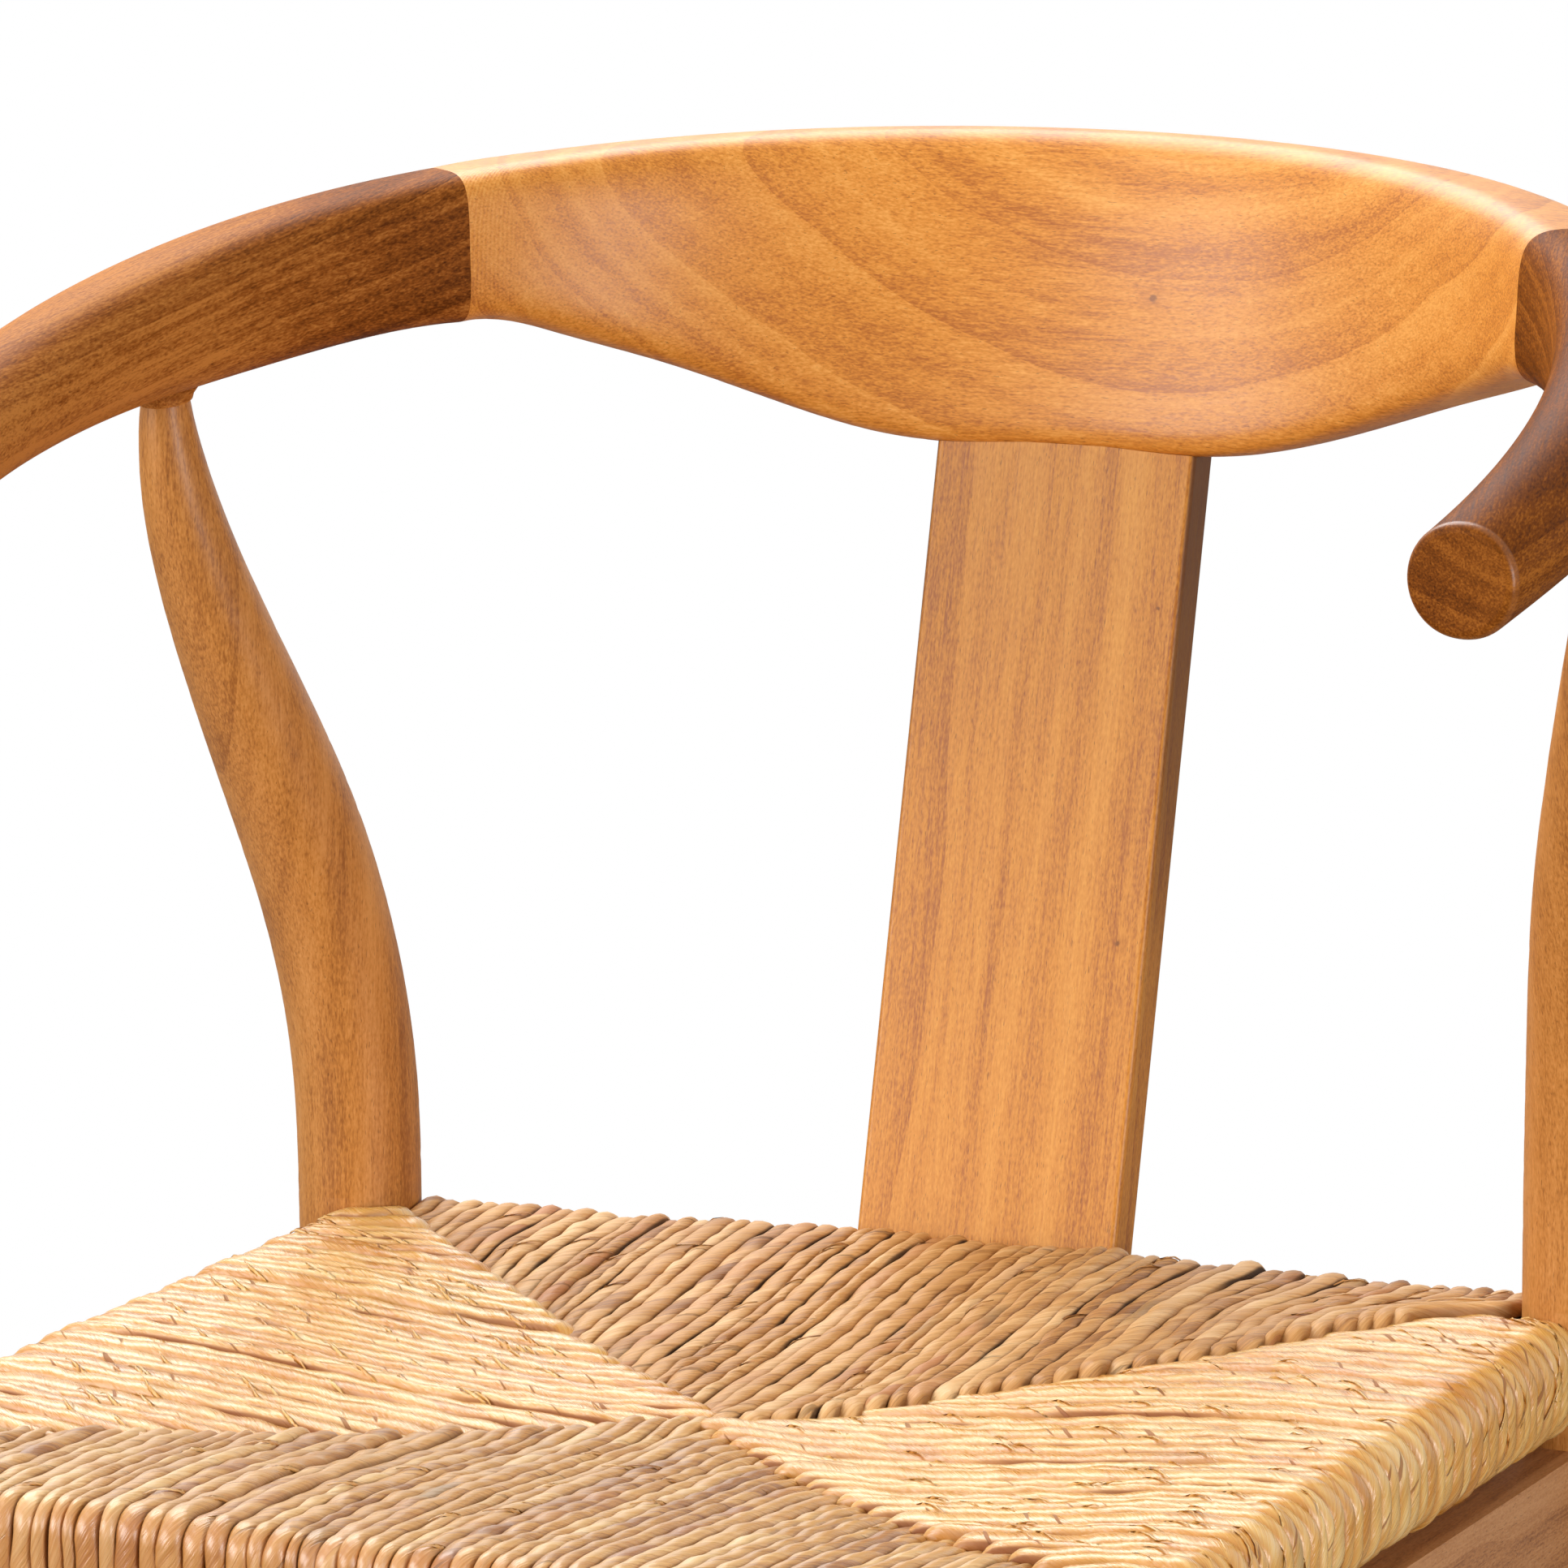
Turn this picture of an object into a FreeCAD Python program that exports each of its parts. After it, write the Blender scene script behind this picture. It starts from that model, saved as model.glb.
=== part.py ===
import FreeCAD, Part
import math
import os

# Counter stool: a bent arm rail in three lengths, one splat, swept rear legs and a rush seat.
# Millimetres, +Z up, +Y towards the back, +X to the right of someone who faces the stool.
# The origin is on the floor, under the middle of the stool.

V = FreeCAD.Vector
Place = FreeCAD.Placement
Turn = FreeCAD.Rotation
UP = V(0, 0, 1)

doc = FreeCAD.newDocument("counter_stool")

# Driving sizes: name, value, meaning
SIZES = [
    ("seat_height", 650, "top of the woven seat above the floor"),
    ("rear_line", 138.4, "rear leg line behind the origin at seat level"),
    ("seat_depth", 392, "rear leg line to front leg line"),
    ("rear_spacing", 422, "rear leg centres at seat level"),
    ("front_spacing", 428, "front leg centres at seat level"),
    ("leg_dia", 40, "legs at seat level"),
    ("foot_dia", 30, "legs at the floor"),
    ("rear_foot_spread", 412, "rear leg centres at the floor"),
    ("rear_foot_rake", 45, "rear feet behind the rear leg line"),
    ("front_foot_spread", 440, "front leg centres at the floor"),
    ("front_foot_rake", 8, "front feet ahead of the front leg line"),
    ("front_leg_rise", 2, "front leg tops above the seat"),
    ("post_swell_dia", 41.3, "rear posts at their swelling above the seat"),
    ("post_neck_dia", 15, "rear posts where they meet the arms"),
    ("post_tenon_dia", 11, "round tenon on each rear post"),
    ("post_tenon_depth", 20, "post tenon inside the arm"),
    ("post_reach", 72, "post tops ahead of the rear leg line"),
    ("post_outset", 2.5, "post tops outside the arms' centre line"),
    ("crest_back", 122, "rail centre line behind the rear leg line at the middle"),
    ("crest_radius", 244, "plan radius of the crest's centre line"),
    ("crest_arc", 69, "half angle of the crest radius, in degrees"),
    ("arm_radius", 382, "plan radius of the arms' centre line"),
    ("arm_length", 198, "arm centre line ahead of the crest arc"),
    ("splice_at", 221, "splices from the middle, along the centre line"),
    ("crest_rise", 346, "top of the crest above the seat"),
    ("arm_drop", 63.8, "arm ends below the crest's top"),
    ("crest_height", 99, "crest at the middle, top to bottom"),
    ("crest_thickness", 24, "crest at the middle, front to back"),
    ("crest_lean", 19, "backward lean of the crest at the middle, in degrees"),
    ("crest_round", 10, "corner radius of the crest's section"),
    ("round_start", 150, "where the rail's corners begin to widen, along the centre line"),
    ("shoulder_height", 47, "rail height where the crest arc ends"),
    ("shoulder_width", 38, "rail width where the crest arc ends"),
    ("arm_end_height", 34, "arm height at its end"),
    ("arm_end_width", 36, "arm width at its end"),
    ("arm_end_round", 3, "rounded rim of the arm ends"),
    ("flare_start", 43, "crest's deep part, half length along the centre line"),
    ("flare_end", 242, "end of the crest's flare, along the centre line"),
    ("dowel_dia", 10, "splice dowels"),
    ("dowel_length", 44, "splice dowels"),
    ("dowel_pitch", 20, "splice dowels, centre to centre"),
    ("splat_width", 89.5, "back splat"),
    ("splat_thickness", 16.4, "back splat"),
    ("splat_ease", 2, "rounded long edges of the splat"),
    ("splat_tenon_width", 62, "splat tenons"),
    ("splat_tenon_thickness", 8, "splat tenons"),
    ("splat_tenon_depth", 24, "splat tenons"),
    ("rush_thickness", 34, "woven seat at its edge"),
    ("cord_dia", 6.5, "rush over, under and round the seat rails"),
    ("rush_edge_round", 13, "rounded edge of the woven seat"),
    ("seat_sag", 9, "middle of the seat below its edge"),
    ("side_rail_inset", 10, "side seat rails inside the leg lines"),
    ("rail_width", 20, "seat rails inside the weave"),
    ("rail_tenon_dia", 12, "seat rail tenons"),
    ("rear_rail_offset", 2, "rear seat rail behind the rear leg line"),
    ("apron_drop", 39, "top of the aprons below the seat"),
    ("apron_height", 52, "aprons"),
    ("apron_thickness", 22, "aprons"),
    ("apron_tenon_height", 36, "apron tenons"),
    ("apron_tenon_thickness", 8, "apron tenons"),
    ("side_apron_inset", 5.5, "side aprons inside the rear leg centres"),
    ("rear_apron_offset", 20, "middle of the bowed rear apron behind the rear leg line"),
    ("rear_apron_bow", 14, "middle of the rear apron behind its ends"),
    ("rear_apron_tenon", 34, "rear apron tenons, with the part inside the apron"),
    ("foot_rail_height", 205, "centre of the front foot rail above the floor"),
    ("foot_rail_depth", 24, "front foot rail, front to back"),
    ("foot_rail_tall", 36, "front foot rail, top to bottom"),
    ("foot_rail_ease", 5, "rounded long edges of the foot rail"),
    ("side_stretcher_height", 255, "centre of the side stretchers above the floor"),
    ("rear_stretcher_height", 305, "centre of the rear stretcher above the floor"),
    ("stretcher_dia", 24, "turned stretchers at the middle"),
    ("stretcher_end_dia", 18, "turned stretchers at the legs"),
    ("stretcher_tenon_dia", 12, "stretcher and foot rail tenons"),
    ("tenon_wall", 2, "wood kept between two tenons inside a leg"),
    ("glide_dia", 24, "floor glides"),
    ("glide_height", 5, "floor glides"),
    ("glide_pin_dia", 4, "floor glide pins"),
    ("glide_pin_length", 16, "floor glide pins"),
    ("fit_gap", 0.1, "clearance round a tenon, a dowel or a shoulder"),
    ("end_gap", 1, "space at the bottom of a mortise"),
]

dims = doc.addObject("Spreadsheet::Sheet", "Dims")
for row, (alias, value, meaning) in enumerate(SIZES, start=1):
    dims.set(f"A{row}", meaning)
    dims.set(f"B{row}", str(value))
    dims.setAlias(f"B{row}", alias)
doc.recompute()


def num(alias):
    """A driving size, as a number."""
    return float(dims.get(alias))


def make(kind, label, **formulas):
    """A document object whose properties follow formulas on the sheet."""
    obj = doc.addObject(kind, label)
    for name, formula in formulas.items():
        obj.setExpression(name, formula)
    obj.recompute()
    return obj


def fixed(label, shape):
    """A carved piece whose shape is worked out from the sheet."""
    obj = doc.addObject("Part::Feature", label)
    obj.Shape = shape
    obj.Placement = Place()
    return obj


def together(label, pieces):
    """Separate solids kept as one object."""
    obj = doc.addObject("Part::Compound", label)
    obj.Links = list(pieces)
    return obj


def cut(label, base, *tools):
    """Base less the tools, which stand clear of each other."""
    obj = doc.addObject("Part::Cut", label)
    obj.Base = base
    obj.Tool = tools[0] if len(tools) == 1 else together(f"{label}_cutters", tools)
    return obj


def join(label, *pieces):
    """Pieces of one solid, fused."""
    obj = doc.addObject("Part::MultiFuse", label)
    obj.Shapes = list(pieces)
    return obj


def along(obj, start, end, middle):
    """Lay an object whose own +X (box) or +Z (round) runs from start to end on that line."""
    axis = UP if obj.TypeId in ("Part::Cylinder", "Part::Cone") else V(1, 0, 0)
    obj.Placement = Place((start + end) * 0.5, Turn(axis, end - start)) * Place(middle * -1, Turn())


def bar(label, start, end, length, width, height):
    """A rectangular bar centred on the line from start to end."""
    box = make("Part::Box", label, Length=length, Width=width, Height=height)
    along(box, start, end, V(box.Length.Value, box.Width.Value, box.Height.Value) * 0.5)
    return box


def rod(label, start, end, length, dia):
    """A round bar centred on the line from start to end."""
    pin = make("Part::Cylinder", label, Radius=f"({dia}) / 2", Height=length)
    along(pin, start, end, V(0, 0, pin.Height.Value / 2))
    return pin


def smooth(x):
    """Ease from 0 to 1, level at both ends."""
    x = min(max(x, 0.0), 1.0)
    return x * x * (3 - 2 * x)


def mirrored(point, side):
    """A point of the right half, or its twin on the left."""
    return V(side * point.x, point.y, point.z)


SIDES = (("left", -1), ("right", 1))
SEAT = num("seat_height")
REAR = num("rear_line")
FRONT = REAR - num("seat_depth")
GAP = num("fit_gap")
GLIDE = num("glide_height")


# Arm rail: a horseshoe in plan that drops towards the arm ends

CREST_ARC = math.radians(num("crest_arc"))
CREST_RUN = num("crest_radius") * CREST_ARC
RAIL_RUN = CREST_RUN + num("arm_length")
DROP_POWER = 2.21       # the rail falls slowly at the back and faster at the arms
TAPER_POWER = 1.07      # the arms thin slowly at first
CORNER_CUT = 1 - math.sqrt(0.5)     # how much of its radius a round corner cuts off along each side
OUTLINE_POINTS = 24
ARM_STATION_COUNT = 7   # sections that an arm is lofted through
CREST_STATION_COUNT = 13


def rail_plan(run):
    """Plan point and heading of the centre line, a given run from the middle towards the right arm."""
    radius = num("crest_radius")
    heading = min(run / radius, CREST_ARC)
    x = radius * math.sin(heading)
    y = REAR + num("crest_back") - radius * (1 - math.cos(heading))
    if run > CREST_RUN:
        arm = num("arm_radius")
        heading = CREST_ARC + (run - CREST_RUN) / arm
        x += arm * (math.sin(heading) - math.sin(CREST_ARC))
        y -= arm * (math.cos(CREST_ARC) - math.cos(heading))
    return V(x, y, 0), heading


def rail_top(run):
    """Height of the rail's top edge."""
    return SEAT + num("crest_rise") - num("arm_drop") * (run / RAIL_RUN) ** DROP_POWER


def rail_sizes(run):
    """Height of the arm part, full height and width of the rail."""
    arm_part = max(run - CREST_RUN, 0) / num("arm_length")
    arm_height = num("shoulder_height")
    arm_height += (num("arm_end_height") - arm_height) * arm_part ** TAPER_POWER
    flare = (run - num("flare_start")) / (num("flare_end") - num("flare_start"))
    height = arm_height + (num("crest_height") - num("shoulder_height")) * (1 - smooth(flare))
    width = num("crest_thickness")
    width += (num("shoulder_width") - width) * smooth(run / CREST_RUN)
    width += (num("arm_end_width") - num("shoulder_width")) * arm_part
    return arm_height, height, width


def corner_radius(run, width, height):
    """Corner radius of the rail's section, which widens to a full round at the arm ends."""
    start, small = num("round_start"), num("crest_round")
    return small + (min(width, height) / 2 - small) * smooth((run - start) / (RAIL_RUN - start))


def corner_power(radius, half):
    """Power of the oval whose corners cut off what a round corner does: 2 is a plain oval."""
    return math.log(0.5) / math.log(1 - CORNER_CUT * radius / half)


def rail_section(run, side, lower=0.0):
    """Closed outline of the rail at a run, moved down by lower where it serves as a cutter."""
    plan, heading = rail_plan(run)
    arm_height, height, width = rail_sizes(run)
    top = rail_top(run) - lower
    crest_part = 1 - smooth(run / CREST_RUN)
    lean = math.tan(math.radians(num("crest_lean")) * crest_part)
    radius = corner_radius(run, width, height)
    side_power, top_power = corner_power(radius, width / 2), corner_power(radius, height / 2)
    points = []
    for step in range(OUTLINE_POINTS):
        turn = 2 * math.pi * step / OUTLINE_POINTS
        across = math.copysign(abs(math.cos(turn)) ** (2 / side_power), math.cos(turn)) * width / 2
        upward = math.copysign(abs(math.sin(turn)) ** (2 / top_power), math.sin(turn)) * height / 2
        z = top - height / 2 + upward
        out = across + (z - top + arm_height / 2) * lean
        points.append(V(side * (plan.x + out * math.sin(heading)), plan.y + out * math.cos(heading), z))
    curve = Part.BSplineCurve()
    curve.interpolate(points, PeriodicFlag=True)
    return Part.Wire(curve.toShape())


def spread(start, end, count):
    """Evenly spaced values, both ends included."""
    return [start + (end - start) * step / (count - 1) for step in range(count)]


def arm_blank(side, lower=0.0):
    """An arm from its splice to its end."""
    runs = spread(num("splice_at"), RAIL_RUN, ARM_STATION_COUNT)
    return Part.makeLoft([rail_section(run, side, lower) for run in runs], True, False)


def crest_blank(lower=0.0):
    """The crest between its two splices."""
    runs = spread(-num("splice_at"), num("splice_at"), CREST_STATION_COUNT)
    wires = [rail_section(abs(run), 1 if run >= 0 else -1, lower) for run in runs]
    return Part.makeLoft(wires, True, False)


def with_round_end(arm, side):
    """Round the rim of an arm's end face."""
    tip = rail_middle(RAIL_RUN, side)
    rim = min(arm.Edges, key=lambda edge: edge.CenterOfMass.distanceToPoint(tip))
    return arm.makeFillet(num("arm_end_round"), [rim])


def rail_middle(run, side):
    """Middle of the rail's section at a run."""
    plan = rail_plan(run)[0]
    height = rail_sizes(run)[1]
    return mirrored(V(plan.x, plan.y, rail_top(run) - height / 2), side)


# Post tops lie under the arms' centre line

HALVINGS = 40           # steps that narrow down the place of the post tops


def run_at_reach():
    """Run along the arm to the point over the post tops."""
    low, high = CREST_RUN, RAIL_RUN
    for _ in range(HALVINGS):
        run = (low + high) / 2
        if rail_plan(run)[0].y > REAR - num("post_reach"):
            low = run
        else:
            high = run
    return run


POST_RUN = run_at_reach()
POST_TOP = rail_middle(POST_RUN, 1) + V(num("post_outset"), 0, 0)
ARM_UNDER = POST_TOP.z - rail_sizes(POST_RUN)[1] / 2
POST_BEND_POWER = 1.28  # the post stays upright at first, then sweeps towards the arm
POST_NECK_START = 0.49  # share of the post's height where it starts to thin
POST_NECK_POWER = 1.5   # it thins slowly at first
LEG_RAKE_POWER = 1.5    # the rear leg stays upright below the seat, then rakes back


# Sections of a rear leg, as shares of the way down to the foot and of the way up to the arm
LOWER_SHARES = (1, 0.85, 0.7, 0.55, 0.4, 0.27, 0.16, 0.07)
UPPER_SHARES = (0, 0.15, 0.32, 0.5, 0.64, 0.78, 0.9, 1.04)


def depth_share(z):
    """A height as a share of the way from the seat down to the foot."""
    return (SEAT - z) / (SEAT - GLIDE)


def leg_dia(share):
    """Formula for a leg's diameter at a share of the way down."""
    return f"(Dims.leg_dia + (Dims.foot_dia - Dims.leg_dia) * {share:.5f})"


def rear_leg_at(share):
    """Centre of the right rear leg at a share of the way down."""
    seat_x, foot_x = num("rear_spacing") / 2, num("rear_foot_spread") / 2
    rake = num("rear_foot_rake") * max(share, 0) ** LEG_RAKE_POWER
    return V(seat_x + (foot_x - seat_x) * share, REAR + rake, SEAT - (SEAT - GLIDE) * share)


def front_leg_at(share):
    """Centre of the right front leg at a share of the way down."""
    top_x, foot_x = num("front_spacing") / 2, num("front_foot_spread") / 2
    return V(top_x + (foot_x - top_x) * share, FRONT - num("front_foot_rake") * share,
             SEAT - (SEAT - GLIDE) * share)


def post_at(share):
    """Centre of the right rear post at a share of its height, and a formula for its diameter."""
    seat_x = num("rear_spacing") / 2
    bend = smooth(share ** POST_BEND_POWER)
    swell = smooth(share / POST_NECK_START)
    thin = (max(share - POST_NECK_START, 0) / (1 - POST_NECK_START)) ** POST_NECK_POWER
    dia = f"(Dims.leg_dia + (Dims.post_swell_dia - Dims.leg_dia) * {swell:.4f}"
    dia += f" + (Dims.post_neck_dia - Dims.post_swell_dia) * {thin:.4f})"
    point = V(seat_x + (POST_TOP.x - seat_x) * bend, REAR - num("post_reach") * bend,
              SEAT + (ARM_UNDER - SEAT) * share)
    return point, dia


def lofted(label, rings):
    """A solid through round sections, each given as a placement and a formula for its diameter."""
    sections = []
    for number, (place, dia) in enumerate(rings):
        ring = make("Part::Circle", f"{label}_ring_{number}", Radius=f"{dia} / 2")
        ring.Placement = place
        sections.append(ring)
    loft = doc.addObject("Part::Loft", label)
    loft.Sections = sections
    loft.Solid = True
    return loft


def leg_blank(label, side, is_rear):
    """A leg through level round sections, with the seam of its surface turned outwards."""
    if is_rear:
        stations = [(rear_leg_at(share), leg_dia(share)) for share in LOWER_SHARES]
        stations += [post_at(share) for share in UPPER_SHARES]
    else:
        top = depth_share(SEAT + num("front_leg_rise"))
        stations = [(front_leg_at(share), leg_dia(share)) for share in (1, top)]
    outward = Turn(V(1, 0, 0), V(side, 1 if is_rear else -1, 0))
    return lofted(label, [(Place(mirrored(point, side), outward), dia) for point, dia in stations])


# Every leg: its side, its end, its blank and the sockets cut in it
legs = {}
for side_name, side in SIDES:
    for end_name in ("rear", "front"):
        name = f"{side_name}_{end_name}_leg"
        is_rear = end_name == "rear"
        blank = leg_blank(f"{name}_blank", side, is_rear)
        legs[name] = {"side": side, "rear": is_rear, "blank": blank, "sockets": []}


def leg_point(name, z):
    """Centre of a leg at a height up to the seat."""
    leg_at = rear_leg_at if legs[name]["rear"] else front_leg_at
    return mirrored(leg_at(depth_share(z)), legs[name]["side"])


COPE_MARGIN = 1         # how far a cutter reaches past what it cuts


def leg_cope(label, name, low, high):
    """A tapered cutter round a leg between two heights, wider than the leg by the fit."""
    low, high = low - COPE_MARGIN, high + COPE_MARGIN
    start, end = leg_point(name, low), leg_point(name, high)
    cone = make("Part::Cone", f"{label}_{name}_cope",
                Radius1=f"{leg_dia(depth_share(low))} / 2 + Dims.fit_gap",
                Radius2=f"{leg_dia(depth_share(high))} / 2 + Dims.fit_gap")
    cone.Height = (end - start).Length
    cone.Placement = Place(start, Turn(UP, end - start))
    return cone


def rail_between(label, names, body, span, tenons, sockets):
    """A rail shouldered against two legs over a span of heights; the legs get the sockets of its tenons."""
    shoulders = cut(f"{label}_shoulders", body, *[leg_cope(label, name, *span) for name in names])
    for name in names:
        legs[name]["sockets"] += sockets
    return join(label, shoulders, *tenons)


# Seat rails, inside the weave

RAIL_Z = SEAT - num("rush_thickness") / 2
RAIL_HEIGHT = "(Dims.rush_thickness - 2 * Dims.cord_dia)"
SIDE_RUN = "sqrt(Dims.seat_depth ^ 2 + ((Dims.front_spacing - Dims.rear_spacing) / 2) ^ 2)"
RAIL_STOP = "2 * (Dims.rail_tenon_dia / 2 + Dims.tenon_wall + Dims.end_gap)"
RAIL_SPAN = SEAT - num("rush_thickness"), SEAT


def seat_rail(label, names, start, end, run):
    """One seat rail, with a round tenon into each leg."""
    body = bar(f"{label}_body", start, end, run, "Dims.rail_width", RAIL_HEIGHT)
    tenon_run = f"{run} - {RAIL_STOP}"
    tenon = rod(f"{label}_tenons", start, end, tenon_run, "Dims.rail_tenon_dia")
    socket = rod(f"{label}_socket", start, end, f"{tenon_run} + 2 * Dims.end_gap",
                 "Dims.rail_tenon_dia + 2 * Dims.fit_gap")
    return rail_between(label, names, body, RAIL_SPAN, [tenon], [socket])


rear_x, front_x = num("rear_spacing") / 2, num("front_spacing") / 2
rear_rail_x, front_rail_x = rear_x - num("side_rail_inset"), front_x - num("side_rail_inset")
rear_rail_y = REAR + num("rear_rail_offset")
seat_rail("rear_seat_rail", ["left_rear_leg", "right_rear_leg"],
          V(-rear_x, rear_rail_y, RAIL_Z), V(rear_x, rear_rail_y, RAIL_Z), "Dims.rear_spacing")
seat_rail("front_seat_rail", ["left_front_leg", "right_front_leg"],
          V(-front_x, FRONT, RAIL_Z), V(front_x, FRONT, RAIL_Z), "Dims.front_spacing")
for side_name, side in SIDES:
    seat_rail(f"{side_name}_seat_rail", [f"{side_name}_rear_leg", f"{side_name}_front_leg"],
              V(side * front_rail_x, FRONT, RAIL_Z), V(side * rear_rail_x, REAR, RAIL_Z), SIDE_RUN)


# Aprons, below the weave

APRON_TOP = SEAT - num("apron_drop")
APRON_Z = APRON_TOP - num("apron_height") / 2
APRON_STOP = "2 * (Dims.apron_tenon_thickness / 2 + Dims.tenon_wall + Dims.end_gap)"
APRON_SPAN = APRON_TOP - num("apron_height"), APRON_TOP


def apron_tenon(label, start, end, run, extra=""):
    """A flat tenon centred on the line from start to end; extra widens it for a socket."""
    return bar(label, start, end, run,
               f"Dims.apron_tenon_thickness{extra}", f"Dims.apron_tenon_height{extra}")


def apron(label, names, start, end, run):
    """One straight apron, with a flat tenon into each leg."""
    body = bar(f"{label}_body", start, end, run, "Dims.apron_thickness", "Dims.apron_height")
    tenon_run = f"{run} - {APRON_STOP}"
    tenon = apron_tenon(f"{label}_tenons", start, end, tenon_run)
    socket = apron_tenon(f"{label}_socket", start, end, f"{tenon_run} + 2 * Dims.end_gap",
                         " + 2 * Dims.fit_gap")
    return rail_between(label, names, body, APRON_SPAN, [tenon], [socket])


apron("front_apron", ["left_front_leg", "right_front_leg"],
      V(-front_x, FRONT, APRON_Z), V(front_x, FRONT, APRON_Z), "Dims.front_spacing")
for side_name, side in SIDES:
    apron_x = side * (rear_x - num("side_apron_inset"))
    apron(f"{side_name}_apron", [f"{side_name}_rear_leg", f"{side_name}_front_leg"],
          V(apron_x, FRONT, APRON_Z), V(apron_x, REAR, APRON_Z), "Dims.seat_depth")

# The rear apron bows back at its middle, to carry the splat behind the weave
rear_apron_y = REAR + num("rear_apron_offset")
bow = num("rear_apron_bow")
bow_radius = (rear_x ** 2 + bow ** 2) / (2 * bow)
BOW_RADIUS = "((Dims.rear_spacing / 2) ^ 2 + Dims.rear_apron_bow ^ 2) / (2 * Dims.rear_apron_bow)"


def bow_disc(label, sign):
    """A disc whose rim is one face of the bowed apron."""
    disc = make("Part::Cylinder", label, Radius=f"{BOW_RADIUS} {sign} Dims.apron_thickness / 2",
                Height="Dims.apron_height")
    disc.Placement = Place(V(0, rear_apron_y - bow_radius, APRON_TOP - num("apron_height")), Turn())
    return disc


bowed = cut("rear_apron_ring", bow_disc("rear_apron_back", "+"), bow_disc("rear_apron_front", "-"))
length = doc.addObject("Part::Common", "rear_apron_body")
length.Base = bowed
length.Tool = bar("rear_apron_length", V(-rear_x, rear_apron_y, APRON_Z), V(rear_x, rear_apron_y, APRON_Z),
                  "Dims.rear_spacing", "2 * Dims.rear_spacing", "2 * Dims.apron_height")
apron_tenons, apron_sockets = [], []
for side_name, side in SIDES:
    tip = V(side * (rear_x - num("apron_tenon_thickness") / 2 - num("tenon_wall") - num("end_gap")),
            rear_apron_y - bow, APRON_Z)
    root = tip - V(side * num("rear_apron_tenon"), 0, 0)
    deep = tip + V(side * num("end_gap"), 0, 0)
    apron_tenons.append(apron_tenon(f"rear_apron_{side_name}_tenon", root, tip, "Dims.rear_apron_tenon"))
    apron_sockets.append(apron_tenon(f"rear_apron_{side_name}_socket", root, deep,
                                     "Dims.rear_apron_tenon + Dims.end_gap", " + 2 * Dims.fit_gap"))
rear_apron = rail_between("rear_apron_blank", ["left_rear_leg", "right_rear_leg"], length, APRON_SPAN,
                          apron_tenons, apron_sockets)


# Foot rail and turned stretchers between the lower legs

STRETCHER_STOP = 2 * (num("stretcher_tenon_dia") / 2 + num("tenon_wall"))
SWELL_SHARES = (0, 0.25, 0.5, 0.75, 1)


def turned_body(label, start, end):
    """A stretcher that swells towards its middle."""
    rings = []
    for share in SWELL_SHARES:
        bulge = math.sin(math.pi * share)
        dia = f"(Dims.stretcher_end_dia + (Dims.stretcher_dia - Dims.stretcher_end_dia) * {bulge:.4f})"
        rings.append((Place(start + (end - start) * share, Turn(UP, end - start)), dia))
    return lofted(label, rings)


def eased_bar(label, box, ease):
    """A bar with its four long edges rounded."""
    order = sorted(range(len(box.Shape.Edges)), key=lambda index: -box.Shape.Edges[index].Length)
    eased = doc.addObject("Part::Fillet", label)
    eased.Base = box
    eased.Edges = [(index + 1, ease, ease) for index in order[:4]]
    return eased


def foot_rail_body(label, start, end):
    """The foot rail: a flat bar with rounded long edges."""
    box = bar(f"{label}_bar", start, end, f"{(end - start).Length}",
              "Dims.foot_rail_depth", "Dims.foot_rail_tall")
    return eased_bar(label, box, num("foot_rail_ease"))


def stretcher(label, names, level, tall, body):
    """A stretcher at a level, with a round tenon into each leg; body makes its length between the tenons."""
    start, end = [leg_point(name, level) for name in names]
    run = f"{(end - start).Length - STRETCHER_STOP}"
    tenon = rod(f"{label}_tenons", start, end, run, "Dims.stretcher_tenon_dia")
    socket = rod(f"{label}_socket", start, end, f"{run} + 2 * Dims.end_gap",
                 "Dims.stretcher_tenon_dia + 2 * Dims.fit_gap")
    return rail_between(label, names, body(f"{label}_body", start, end), (level - tall / 2, level + tall / 2),
                        [tenon], [socket])


stretcher("front_foot_rail", ["left_front_leg", "right_front_leg"], num("foot_rail_height"),
          num("foot_rail_tall"), foot_rail_body)
stretcher("rear_stretcher", ["left_rear_leg", "right_rear_leg"], num("rear_stretcher_height"),
          num("stretcher_dia"), turned_body)
for side_name, side in SIDES:
    stretcher(f"{side_name}_stretcher", [f"{side_name}_front_leg", f"{side_name}_rear_leg"],
              num("side_stretcher_height"), num("stretcher_dia"), turned_body)


# Crest, arms and the dowels in their splices

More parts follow.
